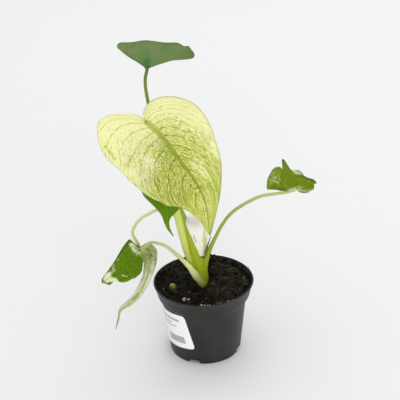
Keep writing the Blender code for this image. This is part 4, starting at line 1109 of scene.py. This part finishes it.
class MONSTERA_OT_main_leaf(bpy.types.Operator):
    """Make the big variegated leaf"""
    bl_idname = "monstera.main_leaf"
    bl_label = "Big leaf"

    def execute(self, context):
        add_leaf("leaf_main", context.scene.monstera_blades)
        return {"FINISHED"}


class MONSTERA_OT_green_leaves(bpy.types.Operator):
    """Make the two green leaves, behind and above the big one"""
    bl_idname = "monstera.green_leaves"
    bl_label = "Green leaves"

    def execute(self, context):
        for name in ("leaf_behind", "leaf_top"):
            add_leaf(name, context.scene.monstera_blades)
        return {"FINISHED"}


class MONSTERA_OT_torn_leaves(bpy.types.Operator):
    """Make the small leaves at the sides, torn and curled"""
    bl_idname = "monstera.torn_leaves"
    bl_label = "Small side leaves"

    def execute(self, context):
        for name in ("leaf_right", "leaf_left_green", "leaf_left_pale"):
            add_leaf(name, context.scene.monstera_blades)
        return {"FINISHED"}


class MONSTERA_OT_stalks(bpy.types.Operator):
    """Make the stalks of the six leaves"""
    bl_idname = "monstera.stalks"
    bl_label = "Stalks"

    def execute(self, context):
        scale = context.scene.monstera_stalks.scale
        for seed, (name, stalk) in enumerate(STALKS.items()):
            path, facing = stalk_path(stalk)
            share = np.linspace(0, 1, len(path))
            first = int(np.argmax(path[:, 2] > STALK_START))
            radii = at_even_steps(stalk["radii"], share[first:]) * scale
            grown = smooth_step(path[first:, 2], STALK_START, STALK_START + 10)
            points, faces, masks = tube(path[first:], radii * (0.75 + 0.25 * grown), 20, facing,
                                        seed=seed, start=share[first])
            add_piece("stalk_" + name, points, faces,
                      stalk_finish("stalk_" + name, stalk["colours"]),
                      "petiole_" + name, masks)
        return {"FINISHED"}


def grown_together(points, faces):
    """One smooth skin round several closed shapes that run into each other."""
    mesh = bpy.data.meshes.new("shapes")
    mesh.from_pydata(points.tolist(), [], faces)
    shape = linked("shapes", mesh)
    remesh = shape.modifiers.new("remesh", "REMESH")
    remesh.mode = "VOXEL"
    remesh.voxel_size = CROWN_VOXEL
    smooth = shape.modifiers.new("smooth", "SMOOTH")
    smooth.factor = 0.5
    smooth.iterations = CROWN_ROUNDS
    graph = bpy.context.evaluated_depsgraph_get()
    skin = bpy.data.meshes.new_from_object(shape.evaluated_get(graph))
    skin_points = np.array([tuple(corner.co) for corner in skin.vertices])
    skin_faces = [tuple(face.vertices) for face in skin.polygons]
    for data in (mesh, skin):
        bpy.data.meshes.remove(data)
    return skin_points, skin_faces


def crown_tones(points, scale):
    """The colour of the crown at its points, taken from the stalks' bases that are nearest, with the
    painted shade of their first colour near the soil.
    """
    total, weights = np.zeros_like(points), np.zeros(len(points))
    for stalk in STALKS.values():
        path, _ = stalk_path(stalk)
        base = path[path[:, 2] < CROWN_TOP + 30]
        away = np.linalg.norm(points[:, None] - base[None], axis=2)
        share = away.argmin(axis=1) / (len(path) - 1)
        weight = np.exp(-3.5 * away.min(axis=1) / (at_even_steps(stalk["radii"], share) * scale))
        total += weight[:, None] * at_even_steps(stalk["colours"], share)
        weights += weight
    return total / weights[:, None]


class MONSTERA_OT_crown(bpy.types.Operator):
    """Make the short stem, grown together with the stalks' bases"""
    bl_idname = "monstera.crown"
    bl_label = "Crown"

    def execute(self, context):
        scale = context.scene.monstera_stalks.scale
        heights = np.linspace(STEM_HEIGHTS[0], STEM_HEIGHTS[-1], 40)
        path = np.outer(heights, (0, 0, 1))
        parts = [tube(path, np.interp(heights, STEM_HEIGHTS, STEM_RADII), 28, ripple=0.06)]
        for route, (low, high) in WEBS:
            parts.append(tube(smooth_path(route, 60), np.linspace(low, high, 60), 20))
        for seed, stalk in enumerate(STALKS.values()):
            path, _ = stalk_path(stalk)
            radii = at_even_steps(stalk["radii"], np.linspace(0, 1, len(path))) * scale
            held = path[:, 2] < CROWN_TOP
            held &= np.cumsum(~held) == 0
            taper = 0.12 - 0.45 * smooth_step(path[held, 2], STALK_START, CROWN_TOP)
            parts.append(tube(path[held], radii[held] + taper, 24, seed=seed))
        points, faces, _ = joined(parts)
        points, faces = grown_together(points, faces)
        add_piece("crown", points, faces, crown_finish(), "stem_base",
                  {"tone": crown_tones(points, scale)})
        return {"FINISHED"}


class MONSTERA_OT_stub(bpy.types.Operator):
    """Make the cut stub of an older stem"""
    bl_idname = "monstera.stub"
    bl_label = "Stub"

    def execute(self, context):
        outline = [(share * STUB_RADIUS, height) for share, height in STUB_OUTLINE]
        points, faces = turned_points(rounded(outline, 0.8), 40)
        swell = [0.4 * noise.noise(Vector(point / 1.8)) for point in points]
        points = points + np.outer(swell, (1, 0.6, 0.3)) + (*STUB_PLACE, 0)
        add_piece("stub", points, faces, stub_finish(), "stem_stub")
        return {"FINISHED"}


class MONSTERA_OT_sheath(bpy.types.Operator):
    """Make the dry sheath in the fork of the stalks"""
    bl_idname = "monstera.sheath"
    bl_label = "Dry sheath"

    def execute(self, context):
        settings = context.scene.monstera_blades
        thickness = settings.thickness / MM
        points, faces, masks = blade_solid("dry_sheath", BLADES["dry_sheath"], thickness,
                                           settings.pucker)
        dry = dry_finish("dry_sheath", context.scene.monstera_stalks.dry, (0.20, 0.17, 0.10))
        add_piece("sheath_scrap", points, faces, dry, "dry_sheath", masks)
        look = BLADES["sheath_membrane"]
        points, faces, masks = blade_solid("sheath_membrane", look, 0.4 * thickness,
                                           settings.pucker)
        film = blade_finish("sheath_membrane", look, settings)
        add_piece("sheath_membrane", points, faces, film, masks=masks)
        return {"FINISHED"}


def pot_outline():
    """The pot's section from the middle of its foot, up the outside and down the inside."""
    inside = [(radius - POT_WALL, height) for radius, height in POT_OUTSIDE[-2:1:-1]]
    return [(0, 0), *POT_OUTSIDE, POT_LIP, *inside, (FOOT_RADIUS - POT_WALL, FLOOR_THICKNESS),
            (0, FLOOR_THICKNESS)]


def cutter(name, shape):
    """An object of a shape, which is given in millimetres."""
    shape.transform(Matrix.Scale(MM, 4))
    mesh = bpy.data.meshes.new(name)
    shape.to_mesh(mesh)
    shape.free()
    return bpy.data.objects.new(name, mesh)


def notch_box(name, grow, outer, low, angle):
    """The space of a drainage notch, grown on its inner sides and roof."""
    inner = NOTCH_INNER_RADIUS - grow
    high = NOTCH_HEIGHT + grow
    shape = bmesh.new()
    bmesh.ops.create_cube(shape, size=1)
    shape.transform(Matrix.Rotation(math.radians(angle), 4, "Z")
                    @ Matrix.Translation(((inner + outer) / 2, 0, (low + high) / 2))
                    @ Matrix.Diagonal((outer - inner, NOTCH_WIDTH + 2 * grow, high - low, 1)))
    return cutter(name, shape)


def drain_post(place):
    """The space of a drain hole in a notch's roof."""
    shape = bmesh.new()
    middle = NOTCH_HEIGHT + POT_WALL / 2
    bmesh.ops.create_cone(shape, cap_ends=True, segments=28, radius1=DRAIN_RADIUS,
                          radius2=DRAIN_RADIUS, depth=POT_WALL + 2,
                          matrix=Matrix.Translation((*place, middle)))
    return cutter("drain", shape)


def combine(obj, others, operation):
    """Join other objects to one, or cut it with them, and remove them."""
    group = bpy.data.collections.new("cutters")
    bpy.context.scene.collection.children.link(group)
    for other in others:
        group.objects.link(other)
    step = obj.modifiers.new("combine", "BOOLEAN")
    step.operation = operation
    step.operand_type = "COLLECTION"
    step.collection = group
    graph = bpy.context.evaluated_depsgraph_get()
    mesh = bpy.data.meshes.new_from_object(obj.evaluated_get(graph))
    obj.modifiers.clear()
    obj.data = mesh
    for other in others:
        bpy.data.objects.remove(other)
    bpy.data.collections.remove(group)


class MONSTERA_OT_pot(bpy.types.Operator):
    """Make the thin moulded pot with its stepped collar, notched foot and drain holes"""
    bl_idname = "monstera.pot"
    bl_label = "Pot"

    def execute(self, context):
        points, faces = turned_points(rounded(pot_outline(), 0.5), POT_SEGMENTS)
        plastic = context.scene.monstera_pot.plastic
        pot = add_piece("pot", points, faces, pot_finish(plastic), "nursery_pot")
        housings = [notch_box("housing", POT_WALL, FOOT_RADIUS - POT_WALL, FLOOR_THICKNESS / 2,
                              angle) for angle in NOTCH_ANGLES]
        combine(pot, housings, "UNION")
        cutters = [notch_box("notch", 0, FOOT_RADIUS + 6, -2, angle) for angle in NOTCH_ANGLES]
        cutters += [drain_post(turned(DRAIN_DISTANCE, angle)) for angle in NOTCH_ANGLES]
        combine(pot, cutters, "DIFFERENCE")
        pot.data.set_sharp_from_angle(angle=math.radians(40))
        return {"FINISHED"}


class MONSTERA_OT_label(bpy.types.Operator):
    """Make the paper label on the pot's wall"""
    bl_idname = "monstera.label"
    bl_label = "Label"

    def execute(self, context):
        settings = context.scene.monstera_pot
        half_width = settings.label_width / MM / 2
        share = np.linspace(0, 1, LABEL_COLUMNS + 1)[:, None]
        across = half_width * (0.7 * (2 * share - 1) - 0.3 * np.cos(math.pi * share))
        into = np.maximum(0, LABEL_CORNER - (half_width - np.abs(across)))
        cut = LABEL_CORNER - np.sqrt(np.maximum(0, LABEL_CORNER ** 2 - into ** 2))
        up = (settings.label_height / MM / 2 - cut) * np.linspace(-1, 1, LABEL_ROWS + 1)
        across = across + np.zeros_like(up)
        lean_in, lean_up = turned(1, LABEL_TURN)
        height = LABEL_MIDDLE + across * lean_up + up * lean_in
        (low, base), (high, top) = POT_OUTSIDE[1:3]
        wall = low + (high - low) / (top - base) * (height - base)
        angle = math.radians(LABEL_ANGLE) + (across * lean_in - up * lean_up) / wall
        upper, lower = (np.stack([(wall + off) * np.cos(angle), (wall + off) * np.sin(angle),
                                  height], axis=-1).reshape(-1, 3) for off in (LABEL_FACE, LABEL_LIFT))
        grid = np.arange(up.size).reshape(up.shape)
        ring = [*grid[:, 0], *grid[-1, 1:], *grid[-2::-1, -1], *grid[0, -2:0:-1]]
        points, faces = slab(upper, lower, quads(grid), [int(corner) for corner in ring])
        sheet = np.stack([across, up, 0 * up], axis=-1).reshape(-1, 3)
        label = add_piece("label", points, faces, label_finish(settings.label), "pot_label",
                          {"sheet": np.vstack([sheet, sheet])})
        label.data.set_sharp_from_angle(angle=math.radians(50))
        return {"FINISHED"}


def soil_height(x, y):
    """Height of the soil at a place, with its lumps."""
    rise = 0.8 * math.exp(-(x * x + y * y) / 120)
    lump = sum(share * noise.noise(Vector((x * finer, y * finer, layer))) for share, finer, layer
               in ((1, 0.11, 3), (0.6, 0.33, 7), (0.45, 0.8, 5), (0.2, 1.9, 1)))
    return SOIL_LEVEL + rise + lump


def soil_tone_and_shadow(points):
    """How light the soil is at places on it, with painted shadow where the darker patches lie."""
    return 0.42 + marked(SOIL_SHADOWS_AND_PATCHES, np.asarray(points, float))


def grain(radius, place, rng, tone, flat=0.8, sink=0.2):
    """One irregular crumb on the soil, or at a height of its own: points, faces and masks."""
    shape = bmesh.new()
    bmesh.ops.create_icosphere(shape, subdivisions=2, radius=1)
    turn = Matrix.Rotation(rng.uniform(0, 6.28), 4, "Z")
    turn = turn @ Matrix.Rotation(rng.uniform(-0.6, 0.6), 4, "X")
    stretch = Matrix.Diagonal((rng.uniform(0.7, 1.3), rng.uniform(0.6, 1), flat, 1))
    shift = Vector((rng.uniform(0, 50), 0, 0))
    for corner in shape.verts:
        corner.co *= 1 + 0.5 * noise.noise(corner.co * 1.3 + shift)
    shape.transform(turn @ stretch)
    ground = place[2] if len(place) > 2 else soil_height(*place)
    points = np.array([tuple(corner.co) for corner in shape.verts]) * radius
    points = points + (*place[:2], ground + radius * (flat * 0.5 - sink))
    faces = [tuple(corner.index for corner in face.verts) for face in shape.faces]
    shape.free()
    return points, faces, toned(points, tone)


def strewn(rng, count, reach=SOIL_REACH):
    """Places on the soil, clear of the stem and the stub."""
    places = []
    while len(places) < count:
        x, y = turned(reach * math.sqrt(rng.random()), rng.uniform(0, 360))
        from_stub = math.hypot(x - STUB_PLACE[0], y - STUB_PLACE[1])
        if math.hypot(x, y) > STEM_CLEARANCE and from_stub > STUB_RADIUS + 1.5:
            places.append((x, y))
    return places


def strand(route, count, radii, tone, sides=7, ripple=0.03, seed=0):
    """One fibre along a route: points, faces and masks."""
    points, faces, _ = tube(smooth_path(route, count), radii, sides, None, ripple, seed)
    return points, faces, toned(points, tone)


def add_loose(name, parts, colour, light):
    """A piece of loose parts that lie on the soil."""
    points, faces, masks = joined(parts)
    add_piece(name, points, faces, soil_finish(name, colour, light),
              masks=masks)


def add_soil_bed(colour):
    """The soil's body, from the pot's floor up to its lumpy top."""
    side = POT_WALL + 0.1
    edge = POT_OUTSIDE[6][0] - side - 0.25
    wall = [(FOOT_RADIUS, SOIL_BOTTOM), *POT_OUTSIDE[2:6]]
    outline = [(0, SOIL_BOTTOM), *((radius - side, height) for radius, height in wall),
               (edge, SOIL_LEVEL - 0.6)]
    outline += [(edge * (1 - k / SOIL_RINGS), SOIL_LEVEL) for k in range(1, SOIL_RINGS + 1)]
    points, faces = turned_points(outline, SOIL_SEGMENTS)
    for point in points:
        if point[2] > SOIL_LEVEL - 0.1:
            point[2] = soil_height(point[0], point[1])
    add_piece("soil_bed", points, faces, soil_finish("potting_soil", colour, (0.039, 0.034, 0.02)),
              "potting_soil", toned(points, soil_tone_and_shadow(points)))


def loose_crumbs(rng, count):
    """Crumbs strewn on the soil, stuck to the pot's wall and lying behind its lip."""
    parts = []
    for place in strewn(rng, count):
        radius = 0.35 + 1.7 * rng.random() ** 3
        # Crumbs that lie in the painted shadow patches are made darker too.
        tone = float(soil_tone_and_shadow([place])[0]) - 0.3 + 0.8 * rng.random() ** 2
        parts.append(grain(radius, place, rng, tone))
    for _ in range(WALL_CRUMBS):
        rise = 3.3 * rng.random() ** 1.3
        radius = rng.uniform(0.4, 1.3)
        wall = POT_OUTSIDE[6][0] - POT_WALL + 0.4 * (rise - 1)
        place = (*turned(wall - 0.6 * radius, rng.uniform(-5, 185)), SOIL_LEVEL + rise)
        parts.append(grain(radius, place, rng, 0.15 + 0.6 * rng.random() ** 2))
    return parts + [grain(radius, place, rng, 0.2) for place, radius in LIP_CRUMBS]


def loose_fibres(rng):
    """Fibres at the lip, strands of bark and strewn fibres."""
    parts = [strand(route, 14, np.linspace(0.3, 0.1, 14), 0.5) for route in LIP_FIBRES]
    for x, y, length, radius in SOIL_STRANDS:
        route = [(x + length * share, y + 0.6 * math.sin(5 * share + x))
                 for share in (-0.5, -0.2, 0.2, 0.5)]
        route = [(*spot, soil_height(*spot) + 0.1) for spot in route]
        radii = radius * (1 - 0.8 * np.linspace(-1, 1, 16) ** 4)
        parts.append(strand(route, 16, radii, 0.62, 9, 0.15, x))
    for place in strewn(rng, STREWN_FIBRES, SOIL_REACH - 1):
        length = rng.uniform(3, 9)
        heading = rng.uniform(0, 2 * math.pi)
        bend = rng.uniform(-0.6, 0.6)
        route = []
        for share in (-0.5, -0.25, 0, 0.25, 0.5):
            x = place[0] + length * share * math.cos(heading + bend * share)
            y = place[1] + length * share * math.sin(heading + bend * share)
            if math.hypot(x, y) > SOIL_REACH + 0.5:
                break
            route.append((x, y, soil_height(x, y) + 0.15 + 0.3 * rng.random()))
        if len(route) > 2:
            radii = rng.uniform(0.12, 0.3) * (1 - 0.6 * np.linspace(0, 1, 14) ** 2)
            parts.append(strand(route, 14, radii, rng.uniform(0.2, 1)))
    return parts


class MONSTERA_OT_soil(bpy.types.Operator):
    """Make the soil with its lumpy top, loose crumbs and fibres"""
    bl_idname = "monstera.soil"
    bl_label = "Soil"

    def execute(self, context):
        settings = context.scene.monstera_soil
        rng = random.Random(11)
        add_soil_bed(settings.colour)
        add_loose("soil_crumbs", loose_crumbs(rng, settings.crumbs), settings.colour,
                  (0.039, 0.033, 0.02))
        add_loose("soil_fibres", loose_fibres(rng), (0.013, 0.010, 0.006), (0.09, 0.075, 0.048))
        return {"FINISHED"}


class MONSTERA_OT_perlite(bpy.types.Operator):
    """Make the white and brown grains that lie on the soil"""
    bl_idname = "monstera.perlite"
    bl_label = "Perlite and chips"

    def execute(self, context):
        rng = random.Random(5)
        white = [*PERLITE, *((place, rng.uniform(0.3, 0.5), rng.uniform(0.2, 0.7))
                             for place in strewn(rng, context.scene.monstera_soil.perlite))]
        parts = [grain(radius, place, rng, tone, 0.8, 0) for place, radius, tone in white]
        add_loose("perlite", parts, (0.30, 0.28, 0.24), (0.75, 0.74, 0.70))
        brown = [*CHIPS, *((place, rng.uniform(0.4, 1)) for place in strewn(rng, STREWN_CHIPS))]
        parts = [grain(radius, place, rng, rng.uniform(0.3, 1), 0.45, 0.1)
                 for place, radius in brown]
        add_loose("bark_chips", parts, (0.014, 0.009, 0.005), (0.08, 0.055, 0.035))
        return {"FINISHED"}


def soft_box(name, place, size, power):
    """A soft light that faces the plant."""
    data = bpy.data.lights.new(name, "AREA")
    data.shape = "RECTANGLE"
    data.size, data.size_y = size
    data.energy = power
    light = linked(name, data)
    light.location = place
    light.visible_camera = False
    toward = Vector((0, 0, 0.1)) - Vector(place)
    light.rotation_euler = toward.to_track_quat("-Z", "Y").to_euler()


class MONSTERA_OT_stage(bpy.types.Operator):
    """Make the floor, the studio light and the camera"""
    bl_idname = "monstera.stage"
    bl_label = "Stage"

    def execute(self, context):
        scene = context.scene
        settings = scene.monstera_stage
        points, faces = turned_points(FLOOR, 96)
        surface("studio_floor", points, faces, floor_finish(settings.floor))

        world = bpy.data.worlds.new("studio_room")
        world.use_nodes = True
        room = world.node_tree.nodes["Background"]
        room.inputs["Color"].default_value = (1, 1, 1, 1)
        room.inputs["Strength"].default_value = settings.room
        scene.world = world
        soft_box("overhead_light", (0.45, 1, 1.65), (2, 1.3), settings.overhead)
        soft_box("front_light", (0.51, -2.72, 0.68), (2.72, 1.36), settings.front)

        data = bpy.data.cameras.new("photo_camera")
        data.lens = settings.lens
        data.sensor_width = 36
        camera = linked("photo_camera", data)
        turn = Matrix((CAMERA_RIGHT, CAMERA_UP, -Vector(CAMERA_FORWARD))).transposed().to_4x4()
        camera.matrix_world = Matrix.Translation(CAMERA_PLACE) @ turn
        scene.camera = camera
        scene.view_settings.view_transform = "Standard"
        return {"FINISHED"}


class MONSTERA_PT_panel(bpy.types.Panel):
    """Makes the potted monstera piece by piece"""
    bl_idname = "MONSTERA_PT_panel"
    bl_label = "Potted monstera"
    bl_space_type = "VIEW_3D"
    bl_region_type = "UI"
    bl_category = "Monstera"

    def draw(self, context):
        for group in GROUPS:
            box = self.layout.box()
            settings = getattr(context.scene, group)
            for key in settings.bl_rna.properties.keys():
                if key not in ("rna_type", "name"):
                    box.prop(settings, key)
        for operator in OPERATORS:
            self.layout.operator(operator.bl_idname)


GROUPS = {
    "monstera_blades": MONSTERA_PG_blades,
    "monstera_stalks": MONSTERA_PG_stalks,
    "monstera_pot": MONSTERA_PG_pot,
    "monstera_soil": MONSTERA_PG_soil,
    "monstera_stage": MONSTERA_PG_stage,
}
OPERATORS = (
    MONSTERA_OT_stage,
    MONSTERA_OT_pot,
    MONSTERA_OT_label,
    MONSTERA_OT_soil,
    MONSTERA_OT_perlite,
    MONSTERA_OT_stub,
    MONSTERA_OT_crown,
    MONSTERA_OT_stalks,
    MONSTERA_OT_sheath,
    MONSTERA_OT_main_leaf,
    MONSTERA_OT_green_leaves,
    MONSTERA_OT_torn_leaves,
)


def register():
    """Add the settings, the operators and the panel."""
    for kind in (*GROUPS.values(), *OPERATORS, MONSTERA_PT_panel):
        bpy.utils.register_class(kind)
    for name, kind in GROUPS.items():
        setattr(bpy.types.Scene, name, PointerProperty(type=kind))


def unregister():
    """Take the settings, the operators and the panel away."""
    for name in GROUPS:
        delattr(bpy.types.Scene, name)
    for kind in (MONSTERA_PT_panel, *reversed(OPERATORS), *reversed(GROUPS.values())):
        bpy.utils.unregister_class(kind)


def main():
    """Make every piece in order."""
    register()
    bpy.ops.monstera.stage()
    bpy.ops.monstera.pot()
    bpy.ops.monstera.label()
    bpy.ops.monstera.soil()
    bpy.ops.monstera.perlite()
    bpy.ops.monstera.stub()
    bpy.ops.monstera.crown()
    bpy.ops.monstera.stalks()
    bpy.ops.monstera.sheath()
    bpy.ops.monstera.main_leaf()
    bpy.ops.monstera.green_leaves()
    bpy.ops.monstera.torn_leaves()


if __name__ == "__main__":
    main()
